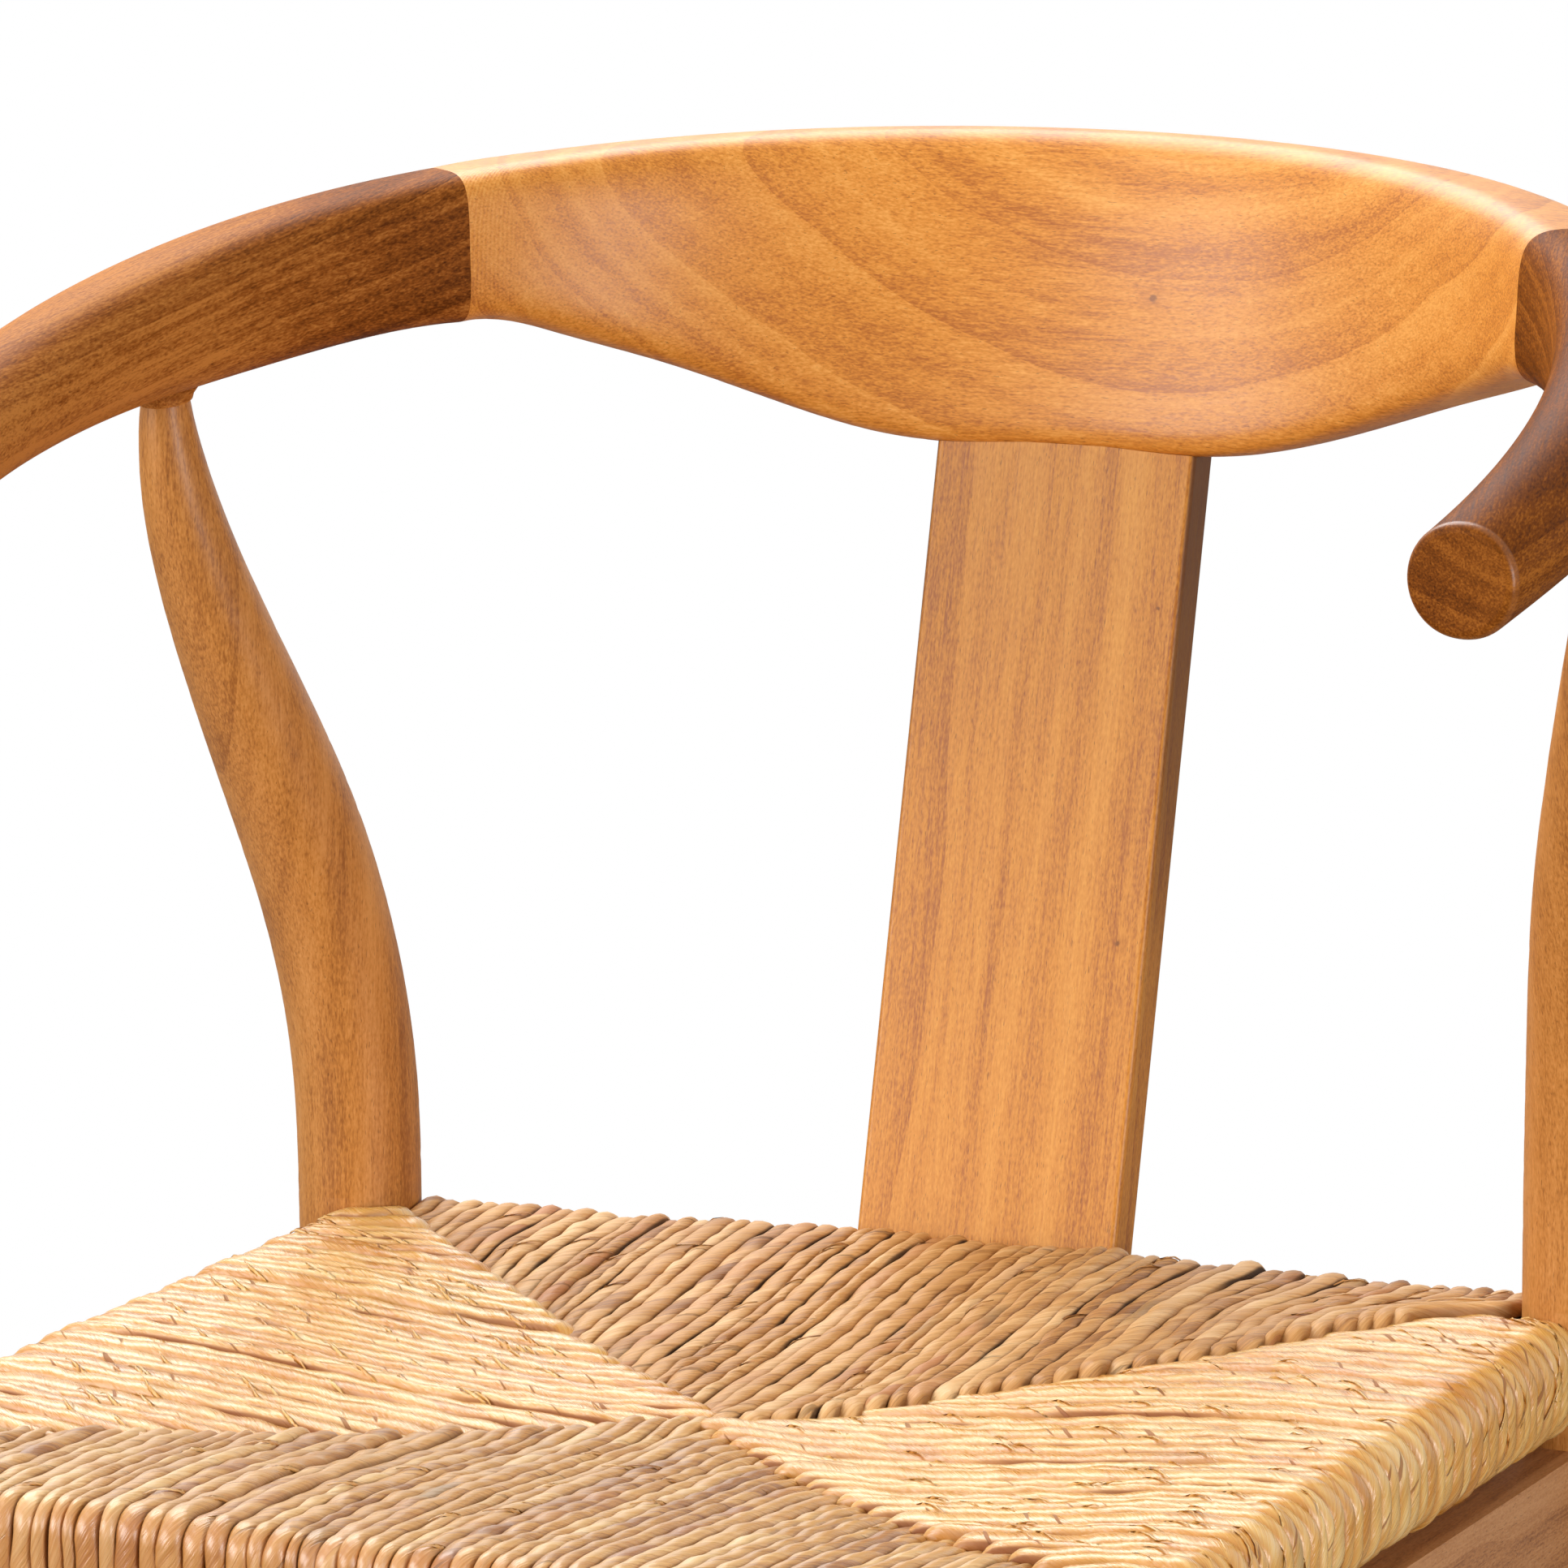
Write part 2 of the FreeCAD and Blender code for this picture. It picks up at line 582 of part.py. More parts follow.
crest = fixed("crest_blank", crest_blank())
crest_cutters = []
for side_name, side in SIDES:
    heading = rail_plan(num("splice_at"))[1]
    tangent = V(side * math.cos(heading), -math.sin(heading), 0)
    pins, holes = [], []
    for number, level in enumerate((-0.5, 0.5)):
        middle = rail_middle(num("splice_at"), side) + UP * (level * num("dowel_pitch"))
        ends = middle - tangent, middle + tangent
        pins.append(rod(f"{side_name}_dowel_{number}", *ends, "Dims.dowel_length", "Dims.dowel_dia"))
        holes.append(rod(f"{side_name}_dowel_hole_{number}", *ends, "Dims.dowel_length + 2 * Dims.end_gap",
                         "Dims.dowel_dia + 2 * Dims.fit_gap"))
    crest_cutters += holes
    together(f"{side_name}_splice_dowels", pins)

    tenon_low = V(side * POST_TOP.x, POST_TOP.y, ARM_UNDER - num("post_tenon_depth"))
    tenon_high = V(side * POST_TOP.x, POST_TOP.y, ARM_UNDER + num("post_tenon_depth"))
    tenon = rod(f"{side_name}_post_tenon", tenon_low, tenon_high, "2 * Dims.post_tenon_depth",
                "Dims.post_tenon_dia")
    socket = rod(f"{side_name}_post_socket", tenon_low, tenon_high,
                 "2 * (Dims.post_tenon_depth + Dims.end_gap)", "Dims.post_tenon_dia + 2 * Dims.fit_gap")
    arm = fixed(f"{side_name}_arm_blank", with_round_end(arm_blank(side), side))
    cut(f"{side_name}_arm", arm, *holes, socket)

    arm_cope = fixed(f"{side_name}_arm_cope", arm_blank(side, GAP))
    name = f"{side_name}_rear_leg"
    shouldered = cut(f"{name}_shoulder", legs[name]["blank"], arm_cope)
    legs[name]["blank"] = join(f"{name}_with_tenon", shouldered, tenon)


# Splat, from the rear apron to the crest

crest_under = V(0, rail_plan(0)[0].y, rail_top(0) - num("crest_height"))
lean_drop = num("crest_height") - num("shoulder_height") / 2
crest_under.y -= lean_drop * math.tan(math.radians(num("crest_lean")))
splat_foot = V(0, rear_apron_y, APRON_TOP)
splat_run = (crest_under - splat_foot).Length
splat_up = (crest_under - splat_foot).normalize()
splat_turn = Turn(UP, splat_up)
tenon_depth = num("splat_tenon_depth")


def splat_bar(label, low, high, width, thickness):
    """A bar on the splat's middle line, from low to high along its length."""
    box = make("Part::Box", label, Length=width, Width=thickness)
    box.Height = high - low
    box.Placement = Place(splat_foot, splat_turn) * Place(
        V(-box.Length.Value / 2, -box.Width.Value / 2, low), Turn())
    return box


board = splat_bar("back_splat_board", -tenon_depth, splat_run + tenon_depth,
                  "Dims.splat_width", "Dims.splat_thickness")
ends = []
splat_top = crest_under.z + num("splat_ease")
for label, level in (("below_splat", APRON_TOP + GAP - SEAT), ("above_splat", splat_top + GAP)):
    block = make("Part::Box", label, Length="2 * Dims.splat_width", Width="2 * Dims.seat_depth",
                 Height="Dims.seat_height")
    block.Placement = Place(V(-num("splat_width"), REAR - num("seat_depth"), level), Turn())
    ends.append(block)
trimmed = cut("back_splat_trimmed", eased_bar("back_splat_eased", board, num("splat_ease")), *ends)
shoulders = cut("back_splat_shoulders", trimmed, fixed("crest_cope", crest_blank(GAP)))
tongue = splat_bar("back_splat_tenons", -tenon_depth, splat_run + tenon_depth,
                   "Dims.splat_tenon_width", "Dims.splat_tenon_thickness")
slot = splat_bar("back_splat_socket", -tenon_depth - num("end_gap"), splat_run + tenon_depth + num("end_gap"),
                 "Dims.splat_tenon_width + 2 * Dims.fit_gap", "Dims.splat_tenon_thickness + 2 * Dims.fit_gap")
join("back_splat", shoulders, tongue)
cut("rear_apron", rear_apron, slot)
cut("crest_rail", crest, *crest_cutters, slot)


# Legs with their mortises, and the glides under them

GLIDE_REACH = "Dims.glide_height + Dims.glide_pin_length"
for name, leg in legs.items():
    floor = leg_point(name, GLIDE) - UP * GLIDE
    disc = make("Part::Cone", f"{name}_glide_disc", Radius1="Dims.glide_dia / 2 - Dims.glide_height / 4",
                Radius2="Dims.glide_dia / 2", Height="Dims.glide_height")
    pin = make("Part::Cylinder", f"{name}_glide_pin", Radius="Dims.glide_pin_dia / 2", Height=GLIDE_REACH)
    pin_hole = make("Part::Cylinder", f"{name}_pin_hole", Radius="Dims.glide_pin_dia / 2 + Dims.fit_gap",
                    Height=f"{GLIDE_REACH} + Dims.end_gap")
    for piece in (disc, pin, pin_hole):
        piece.Placement = Place(floor, Turn())
    join(name.replace("leg", "glide"), disc, pin)
    cut(name, leg["blank"], *leg["sockets"], pin_hole)


# Woven seat: a dished envelope round the four rails, open where the legs pass

SEAT_MIDDLE = V(0, (rear_rail_y + FRONT) / 2, SEAT)


def seat_slab(label, extra, low, high):
    """A slab over the seat frame that reaches a given formula past the rail lines."""
    reach = f"(Dims.rail_width / 2 + {extra})"
    front_half, rear_half = [f"(Dims.{end}_spacing / 2 - Dims.side_rail_inset + {reach})" for end in ("front", "rear")]
    slab = make("Part::Wedge", label, Ymin=f"-{reach}",
                Ymax=f"Dims.seat_depth + Dims.rear_rail_offset + {reach}",
                Xmin=f"-{front_half}", Xmax=front_half, X2min=f"-{rear_half}", X2max=rear_half,
                Zmin=low, Z2min=low, Zmax=high, Z2max=high)
    slab.Placement = Place(V(0, FRONT, SEAT), Turn())
    return slab


def dish(label, lower):
    """The shallow hollow of the seat: four slopes that meet in the middle."""
    half_x = rear_rail_x - num("rail_width") / 2
    half_y = (rear_rail_y - FRONT) / 2 - num("rail_width") / 2
    corners = [SEAT_MIDDLE + V(x * half_x, y * half_y, -lower)
               for x, y in ((-1, -1), (1, -1), (1, 1), (-1, 1))]
    lowest = SEAT_MIDDLE - UP * (lower + num("seat_sag"))
    loop = corners + corners[:1]
    faces = [Part.Face(Part.makePolygon(loop))]
    for one, two in zip(loop, loop[1:]):
        faces.append(Part.Face(Part.makePolygon([one, two, lowest, one])))
    return fixed(label, Part.makeSolid(Part.makeShell(faces)))


CORNER_SHARE = 0.8      # share of the leg's radius where the weave stops beside it


def corner_cutter(name):
    """The leg and the open corner outside it."""
    side = legs[name]["side"]
    end = 1 if legs[name]["rear"] else -1
    centre = leg_point(name, SEAT)
    stop = CORNER_SHARE * num("leg_dia") / 2
    pieces = [leg_cope("woven_seat", name, *RAIL_SPAN)]
    for number, (step_x, step_y) in enumerate(((stop, 0), (0, stop))):
        box = make("Part::Box", f"{name}_corner_{number}", Length="2 * Dims.leg_dia",
                   Width="2 * Dims.leg_dia", Height="2 * Dims.rush_thickness")
        x = centre.x - side * step_x - (box.Length.Value if side < 0 else 0)
        y = centre.y - end * step_y - (box.Width.Value if end < 0 else 0)
        box.Placement = Place(V(x, y, RAIL_Z - num("rush_thickness")), Turn())
        pieces.append(box)
    return join(f"{name}_corner", *pieces)


outer = seat_slab("woven_seat_outer", "Dims.cord_dia", "-Dims.rush_thickness", "0")
rounded = doc.addObject("Part::Fillet", "woven_seat_rounded")
rounded.Base = outer
edge_round = num("rush_edge_round")
rounded.Edges = [(number, edge_round, edge_round) for number, edge in enumerate(outer.Shape.Edges, start=1)
                 if abs(edge.Vertexes[0].Z - edge.Vertexes[1].Z) < GAP]
inner = seat_slab("woven_seat_inner", "Dims.fit_gap", "Dims.cord_dia - Dims.rush_thickness - Dims.fit_gap",
                  "-Dims.cord_dia + Dims.fit_gap")
hollow = cut("woven_seat_hollow", inner, dish("woven_seat_inner_dish", num("cord_dia") - GAP))
shell = cut("woven_seat_shell", rounded, dish("woven_seat_dish", 0), hollow)
splat_notch = splat_bar("woven_seat_splat_notch", 0, splat_run, "Dims.splat_width + 2 * Dims.fit_gap",
                        "Dims.splat_thickness + 2 * Dims.fit_gap")
cut("woven_seat", shell, *[corner_cutter(name) for name in legs], splat_notch)


# Stuffing: four flat wads between the two layers of the weave

def wad(label, first, second):
    """A triangular wad between two corners of the frame's opening and the middle of the seat."""
    base = RAIL_Z - num("rush_thickness") / 2 + num("cord_dia") + GAP
    tall = num("rush_thickness") - 2 * num("cord_dia") - num("seat_sag") - 2 * GAP
    corners = [V(point.x, point.y, base) for point in (first, second, SEAT_MIDDLE)]
    centre = (corners[0] + corners[1] + corners[2]) * (1 / 3)
    inset = [point + (centre - point).normalize() * num("cord_dia") for point in corners]
    face = Part.Face(Part.makePolygon(inset + inset[:1]))
    return fixed(label, face.extrude(UP * tall))


half_rail = num("rail_width") / 2
opening = [V(half_rail - front_rail_x, FRONT + half_rail), V(front_rail_x - half_rail, FRONT + half_rail),
           V(rear_rail_x - half_rail, rear_rail_y - half_rail), V(half_rail - rear_rail_x, rear_rail_y - half_rail)]
together("seat_stuffing", [wad(f"stuffing_wad_{number}", one, two)
                           for number, (one, two) in enumerate(zip(opening, opening[1:] + opening[:1]))])

doc.recompute()


# Check every object, then write each piece

PIECES = ["crest_rail", "back_splat", "woven_seat", "seat_stuffing", "front_foot_rail", "rear_stretcher"]
PIECES += [f"{end}_{part}" for end in ("front", "rear") for part in ("seat_rail", "apron")]
for side_name, _ in SIDES:
    PIECES += [f"{side_name}_{part}" for part in ("arm", "splice_dowels", "seat_rail", "apron", "stretcher")]
    PIECES += [f"{side_name}_{end}_{part}" for end in ("front", "rear") for part in ("leg", "glide")]

for obj in doc.Objects:
    if "Invalid" in obj.State or "Error" in obj.State:
        raise RuntimeError(f"{obj.Label} failed: {obj.State}")
os.makedirs("parts", exist_ok=True)
shapes = {label: doc.getObjectsByLabel(label)[0].Shape for label in PIECES}
for label, shape in shapes.items():
    if shape.isNull() or not shape.isValid() or not shape.Solids:
        raise RuntimeError(f"{label} has no valid solid")
for label, shape in shapes.items():
    shape.exportStep(f"parts/{label}.step")
    print(label, len(shape.Solids), "solid", round(shape.Volume / 1000, 1), "cm3")
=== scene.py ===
# %% [markdown]
# A counter stool with a horseshoe back rail and a woven rush seat.
# The CAD model is loaded first as a fixed frame, in metres, with Z up and the front towards -Y.
# Everything after that dresses the frame: light, wood, and the rush that is wound over the seat rails.

# %% Load the frame
import math

import bpy
import numpy as np
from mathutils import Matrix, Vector


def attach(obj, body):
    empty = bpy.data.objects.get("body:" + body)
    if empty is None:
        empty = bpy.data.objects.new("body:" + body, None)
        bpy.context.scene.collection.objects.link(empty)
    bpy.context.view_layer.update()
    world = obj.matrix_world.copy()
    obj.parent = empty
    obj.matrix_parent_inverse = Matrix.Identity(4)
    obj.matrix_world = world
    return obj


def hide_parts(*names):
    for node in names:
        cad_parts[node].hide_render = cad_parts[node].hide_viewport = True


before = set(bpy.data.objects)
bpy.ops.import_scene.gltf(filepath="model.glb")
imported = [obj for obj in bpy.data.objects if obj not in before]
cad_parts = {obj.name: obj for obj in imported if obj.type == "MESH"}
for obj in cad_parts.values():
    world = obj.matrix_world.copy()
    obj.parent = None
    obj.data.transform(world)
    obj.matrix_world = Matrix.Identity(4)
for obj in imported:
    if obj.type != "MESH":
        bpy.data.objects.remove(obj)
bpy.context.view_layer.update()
bpy.ops.object.select_all(action="DESELECT")
MM = 0.001

# %% [markdown]
# The camera stands in front of the stool, a little to its right and above the rail, far away with a long
# lens. It aims at a point beside the back, so the rail and the seat run out of the picture as they do in
# the photograph.

# %% Camera
AIM = Vector((-60.42, 138.4, 798.2)) * MM
CAMERA_TURN, CAMERA_RISE = math.radians(23.49), math.radians(10.08)
CAMERA_DISTANCE = 3.354
SENSOR_WIDTH = 36
PICTURE_SIDE = 1932
FOCAL_PIXELS = 13000

looking = Vector((-math.sin(CAMERA_TURN) * math.cos(CAMERA_RISE),
                  math.cos(CAMERA_TURN) * math.cos(CAMERA_RISE), -math.sin(CAMERA_RISE)))
bpy.ops.object.camera_add(location=AIM - looking * CAMERA_DISTANCE,
                          rotation=looking.to_track_quat("-Z", "Y").to_euler())
camera = bpy.context.object
camera.name = "camera"
camera.data.sensor_width = SENSOR_WIDTH
camera.data.lens = FOCAL_PIXELS / PICTURE_SIDE * SENSOR_WIDTH
bpy.context.scene.camera = camera
bpy.context.scene.view_settings.view_transform = "Standard"
print("camera at", tuple(round(v, 3) for v in camera.location), "lens", round(camera.data.lens, 1))

# %% [markdown]
# Materials are written as sums. A small class stands for one socket of a node, and +, -, * and / on it
# add Math nodes. Its node method adds any other node, first with its settings and then with its inputs,
# and short methods stand for the nodes that come back often.

# %% Shader sums
OBJECT_COORDINATES = 3


class Shade:
    """A socket of a material's node tree that can be used in Python sums."""

    def __init__(self, tree, socket=None):
        self.tree, self.socket = tree, socket

    def node(self, kind, settings=None, inputs=None, out=0):
        """One output of a new node."""
        made = self.tree.nodes.new(kind)
        for key, value in (settings or {}).items():
            setattr(made, key, value)
        for key, value in (inputs or {}).items():
            if isinstance(value, Shade):
                self.tree.links.new(value.socket, made.inputs[key])
            else:
                made.inputs[key].default_value = value
        return Shade(self.tree, made.outputs[out])

    def sum(self, operation, first, second=0.0):
        return self.node("ShaderNodeMath", {"operation": operation}, {0: first, 1: second})

    def by(self, operation, second=0.0):
        """This value after a Math node."""
        return self.sum(operation, self, second)

    def __add__(self, other):
        return self.by("ADD", other)

    def __sub__(self, other):
        return self.by("SUBTRACT", other)

    def __rsub__(self, other):
        return self.sum("SUBTRACT", other, self)

    def __mul__(self, other):
        return self.by("MULTIPLY", other)

    def __truediv__(self, other):
        return self.by("DIVIDE", other)

    def step(self, low, high):
        """0 below low, 1 above high, and a soft slope between."""
        return self.node("ShaderNodeMapRange", {"interpolation_type": "SMOOTHSTEP"},
                         {"Value": self, "From Min": low, "From Max": high})

    def place(self):
        """The object's own coordinates."""
        return self.node("ShaderNodeTexCoord", out=OBJECT_COORDINATES)

    def field(self, x, y, z=0.0):
        """A vector of three values."""
        return self.node("ShaderNodeCombineXYZ", None, {0: x, 1: y, 2: z})

    def axis(self, number):
        """One value of this vector: 0, 1 or 2."""
        return self.node("ShaderNodeSeparateXYZ", None, {0: self}, out=number)

    def measure(self, operation, other=(0, 0, 0)):
        """A length, distance or product of this vector, and of another where there is one."""
        return self.node("ShaderNodeVectorMath", {"operation": operation}, {0: self, 1: other}, out=1)

    def scaled(self, factors):
        """This vector, stretched along each axis."""
        return self.node("ShaderNodeVectorMath", {"operation": "MULTIPLY"}, {0: self, 1: factors})

    def noise(self, scale=1.0, detail=2.0, rough=0.5):
        """Noise read at this vector."""
        return self.node("ShaderNodeTexNoise", None,
                         {"Vector": self, "Scale": scale, "Detail": detail, "Roughness": rough})

    def noise_row(self, detail=2.0):
        """Noise read at this single value."""
        return self.node("ShaderNodeTexNoise", {"noise_dimensions": "1D"}, {"W": self, "Detail": detail})

    def mix(self, low, high):
        """A colour between two, by this factor."""
        return self.node("ShaderNodeMix", {"data_type": "RGBA"}, {0: self, 6: low, 7: high}, out=2)

    def ramp(self, stops):
        """A colour from a row of stops, each a place and a colour."""
        made = self.node("ShaderNodeValToRGB", None, {"Fac": self})
        elements = made.socket.node.color_ramp.elements
        while len(elements) < len(stops):
            elements.new(1)
        for element, (place, colour) in zip(elements, stops):
            element.position, element.color = place, colour
        return made

    def bump(self, strength, distance):
        """A normal, tilted as if this were the height of the surface."""
        return self.node("ShaderNodeBump", None,
                         {"Strength": strength, "Distance": distance, "Height": self})


print("shader sums ready")

# %% [markdown]
# Each finish starts from the main shader of a new material. Colours are given as a screen shows them, which
# is easier to picture, and are turned into the linear values that a shader works in.


# %% New finishes
def new_finish(name):
    """A material with its main shader, and a Shade to start sums from."""
    material = bpy.data.materials.new(name)
    material.use_nodes = True
    return material, material.node_tree.nodes["Principled BSDF"], Shade(material.node_tree)


def feed(shader, **values):
    """Links or sets the main shader's sockets; an underscore stands for a space."""
    for key, value in values.items():
        socket = shader.inputs[key.replace("_", " ")]
        if isinstance(value, Shade):
            value.tree.links.new(value.socket, socket)
        else:
            socket.default_value = value


def tint(red, green, blue):
    """A colour as a screen shows it, 0 to 255, as the shader wants it."""
    return [((v / 255 + 0.055) / 1.055) ** 2.4 if v > 10 else v / 255 / 12.92
            for v in (red, green, blue)] + [1]


def tints(*colours):
    return [tint(*colour) for colour in colours]


print("middle grey", tint(128, 128, 128)[0])

# %% [markdown]
# The stool stands on the pale floor of a studio, which turns white away from it so that no horizon shows.
# The floor is a large plane. The camera sees it pale, and other rays see it darker, so that it throws
# less light up at the stool.

# %% Floor
FLOOR_SIDE = 30.0
FLOOR_FADE = (0.9, 2.0)
FLOOR_COLOUR, FLOOR_BOUNCE = (0.84, 0.83, 0.81, 1), (0.26, 0.25, 0.24, 1)
FLOOR_ROUGHNESS = 0.6
GRIT_SCALE, GRIT_SHARE = 260.0, 0.2
WHITE = (1, 1, 1, 1)
# Outputs of the Light Path node
CAMERA_RAY, GLOSSY_RAY, TRANSMISSION_RAY = 0, 3, 6

bpy.ops.mesh.primitive_plane_add(size=FLOOR_SIDE)
floor = bpy.context.object
floor.name = "floor"
floor_material, floor_shader, start = new_finish("studio_floor")
place = start.place()
far = place.measure("LENGTH").step(*FLOOR_FADE)
seen = start.node("ShaderNodeLightPath", out=CAMERA_RAY)
grit = place.noise(GRIT_SCALE, 3.0) * GRIT_SHARE + (1 - GRIT_SHARE)
feed(floor_shader, Base_Color=(seen * grit).mix(FLOOR_BOUNCE, FLOOR_COLOUR), Roughness=FLOOR_ROUGHNESS)
white = start.node("ShaderNodeEmission", None, {"Color": WHITE, "Strength": 1.0})
faded = start.node("ShaderNodeMixShader", None,
                   {0: far * seen, 1: Shade(start.tree, floor_shader.outputs[0]), 2: white})
start.tree.links.new(faded.socket, start.tree.nodes["Material Output"].inputs["Surface"])
floor.data.materials.append(floor_material)
print("floor", FLOOR_SIDE, "m")

# %% [markdown]
# A white wall stands behind the stool. It is the world here, and it is white only where a ray from the
# camera, a reflection or a ray through something clear meets it, so it doesn't flood the object with light.

# %% World
WORLD_LIGHT = 0.26

world = bpy.data.worlds.new("studio")
world.use_nodes = True
bpy.context.scene.world = world
sky = Shade(world.node_tree)
shown = sky.node("ShaderNodeLightPath", out=CAMERA_RAY)
for ray in (GLOSSY_RAY, TRANSMISSION_RAY):
    shown = shown + sky.node("ShaderNodeLightPath", out=ray)
strength = shown.step(0.0, 1.0) * (1 - WORLD_LIGHT) + WORLD_LIGHT
backdrop = world.node_tree.nodes["Background"]
backdrop.inputs["Color"].default_value = WHITE
world.node_tree.links.new(strength.socket, backdrop.inputs["Strength"])
print("world light", WORLD_LIGHT)

# %% [markdown]
# Three soft lamps light the stool: a large one overhead, a large one to the left of the camera and a small
# one to its right. A fourth, small and weak, hangs above the front edge of the seat and puts sparks on the
# rolls of the rush. Each is a square soft box that faces the middle of the back.


# %% Lamps
def soft_lamp(name, place, target, size, power):
    """A square soft box that faces a target."""
    facing = (Vector(target) - Vector(place)).to_track_quat("-Z", "Y").to_euler()
    bpy.ops.object.light_add(type="AREA", location=place, rotation=facing)
    lamp = bpy.context.object
    lamp.name = name
    lamp.data.size = size
    lamp.data.energy = power
    lamp.visible_camera = False


BACK_MIDDLE = (0.0, 0.1, 0.8)
soft_lamp("overhead", (-0.86, 1.0, 2.4), BACK_MIDDLE, 1.5, 45)
soft_lamp("left_front", (-1.9, -2.0, 1.7), BACK_MIDDLE, 1.4, 67)
soft_lamp("right_front", (1.75, -1.1, 1.1), BACK_MIDDLE, 0.8, 26)
soft_lamp("spark", (-1.0, -0.75, 2.37), BACK_MIDDLE, 0.25, 4)
print("four lamps")

# %% [markdown]
# The wood is a pale hardwood, oiled to honey on the back and stained red-brown on the arms.
# Sawn wood shows its growth rings as bands, its fibres as fine lines along the piece, and its pores as
# short dashes. Solid noise gives all three: it is read in the piece's own space, drawn out along the grain,
# so the bands run round every edge of a piece as they do in a real board, with no seams.

# %% Grain
WANDER_SCALE, RING_WANDER = (4.0, 14.0, 14.0), 0.9
YEAR_STEP, LATE_GROWTH, WIDE_BANDS = 3.7, 1.6, 0.7


def along_grain(place, grain, heart):
    """A place as seen from the heart: along the grain first, then twice across it."""
    grain = Vector(grain).normalized()
    first = grain.orthogonal().normalized()
    axes = (grain, first, grain.cross(first))
    return place.field(*[place.measure("DOT_PRODUCT", axis) - Vector(heart).dot(axis) for axis in axes])


def growth_rings(along, lengthways, band):
    """The rings' wander, the dark late growth at the end of each ring, and wide bands of several rings."""
    wander = along.scaled(WANDER_SCALE).noise(1.0, 2.0) - 0.5
    ring = along.scaled((lengthways, 1.0, 1.0)).measure("LENGTH") / band + wander * RING_WANDER
    growth = ring.by("FRACT")
    year = (ring.by("FLOOR") * YEAR_STEP).noise_row()
    return wander, growth * growth * growth * (year * LATE_GROWTH), (ring * WIDE_BANDS).noise_row(1.0)


def mark(along, width, share, detail):
    """Small marks of a given width across the grain, which is a share of their length."""
    return along.scaled((share / width, 1 / width, 1 / width)).noise(1.0, detail)


print("growth rings wander by", RING_WANDER, "of a ring")

# %% [markdown]
# Some marks belong to one piece only: pin knots, a fine cross ripple where the grain curls, painted shade
# on the side faces of the splat, darker towards the top, and the flat cut end of an arm with its rounded
# rim, which catches the light and also has a painted highlight.
# Each is a mask, made from the distance to a point or a plane of the piece.

# %% Marks of single pieces
RIPPLE_WANDER, RIPPLE_STREAK = 24.0, 3.0
PATCH_EDGE, PATCH_SHARE = (0.3, 0.55), 0.6
# Painted shade on the splat's side faces, and how much more of it towards the top
SIDE_PAINTED_SHADE, SIDE_PAINTED_SHADE_ABOVE = 0.15, 0.65
KNOT_CORE, KNOT_CORE_SHADE = 0.3, 0.85
KNOT_HALO, KNOT_HALO_SHADE = 4, 0.25
END_FACE, END_RIM = (-1.2 * MM, -0.3 * MM), (-3.4 * MM, -2.0 * MM)


def ripple_marks(place, wander, streak, cloud, begin, end, pitch):
    """A patchy cross ripple that fades out along X."""
    across = place.axis(0)
    curl = (across * (2 * math.pi / pitch) + wander * RIPPLE_WANDER + streak * RIPPLE_STREAK).by("SINE")
    patch = cloud.step(*PATCH_EDGE) * PATCH_SHARE + (1 - PATCH_SHARE)
    return curl * ((1 - across.step(begin, end)) * patch)


def add_knot(colour, place, fleck, knot, deep, dark):
    """The colour with a pin knot in it: a deep core and a faint halo."""
    *centre, radius = knot
    apart = place.measure("DISTANCE", centre) + (fleck - 0.5) * radius
    colour = ((1 - apart.step(radius * KNOT_CORE, radius)) * KNOT_CORE_SHADE).mix(colour, deep)
    return ((1 - apart.step(radius, radius * KNOT_HALO)) * KNOT_HALO_SHADE).mix(colour, dark)


def painted_side_shade(place, beside, above):
    """Painted shade on the side faces of a board, darker towards its top."""
    shade = place.axis(2).step(*above) * SIDE_PAINTED_SHADE_ABOVE + SIDE_PAINTED_SHADE
    return place.axis(0).by("ABSOLUTE").step(*beside) * shade


def cut_end(place, centre, facing):
    """Masks of a piece's flat end and of the rim round it."""
    out = place.measure("DOT_PRODUCT", facing) - centre.dot(facing)
    face = out.step(*END_FACE)
    return face, out.step(*END_RIM) * (1 - face)


print("rim of a cut end from", END_RIM[0], "to", END_FACE[0], "m")

# %% [markdown]
# The finish adds up the bands, streaks, clouds and fine marks to one tone, and a ramp turns that tone into
# dark, middle or pale wood. Fibres and pores also make a slight relief, as an oiled surface isn't filled.

# %% Wood
STREAK_SCALE, CLOUD_SCALE = (2.5, 170.0, 170.0), (6.0, 18.0, 18.0)
# Width of each mark across the grain, and that width as a share of its length
FIBRE, FLECK, PORE = (0.8 * MM, 0.04), (0.6 * MM, 0.3), (0.5 * MM, 0.16)
PORE_STEP, PORE_SHADE, DEEP = (0.67, 0.75), 0.5, 0.35
WIDE_SHARE, LATE_SHARE, STREAK_SHARE, CLOUD_SHARE = 0.7, 0.34, 0.6, 0.8
FIBRE_SHARE, FLECK_SHARE, MIDDLE_TONE = 1.0, 1.1, 0.56
FIBRE_RELIEF, FLECK_RELIEF, PORE_RELIEF = 0.35, 0.2, 0.6
RIPPLE_SHARE, RIPPLE_RELIEF = 0.12, 0.25
WOOD_BUMP, WOOD_RELIEF = 0.16, 0.4 * MM
# The paler rim of a cut end is a painted highlight; the coat on it is real gloss
END_PALE, RIM_PAINTED_HIGHLIGHT, RIM_COAT = 0.15, 0.3, 0.6
WOOD_COAT_ROUGHNESS = 0.3


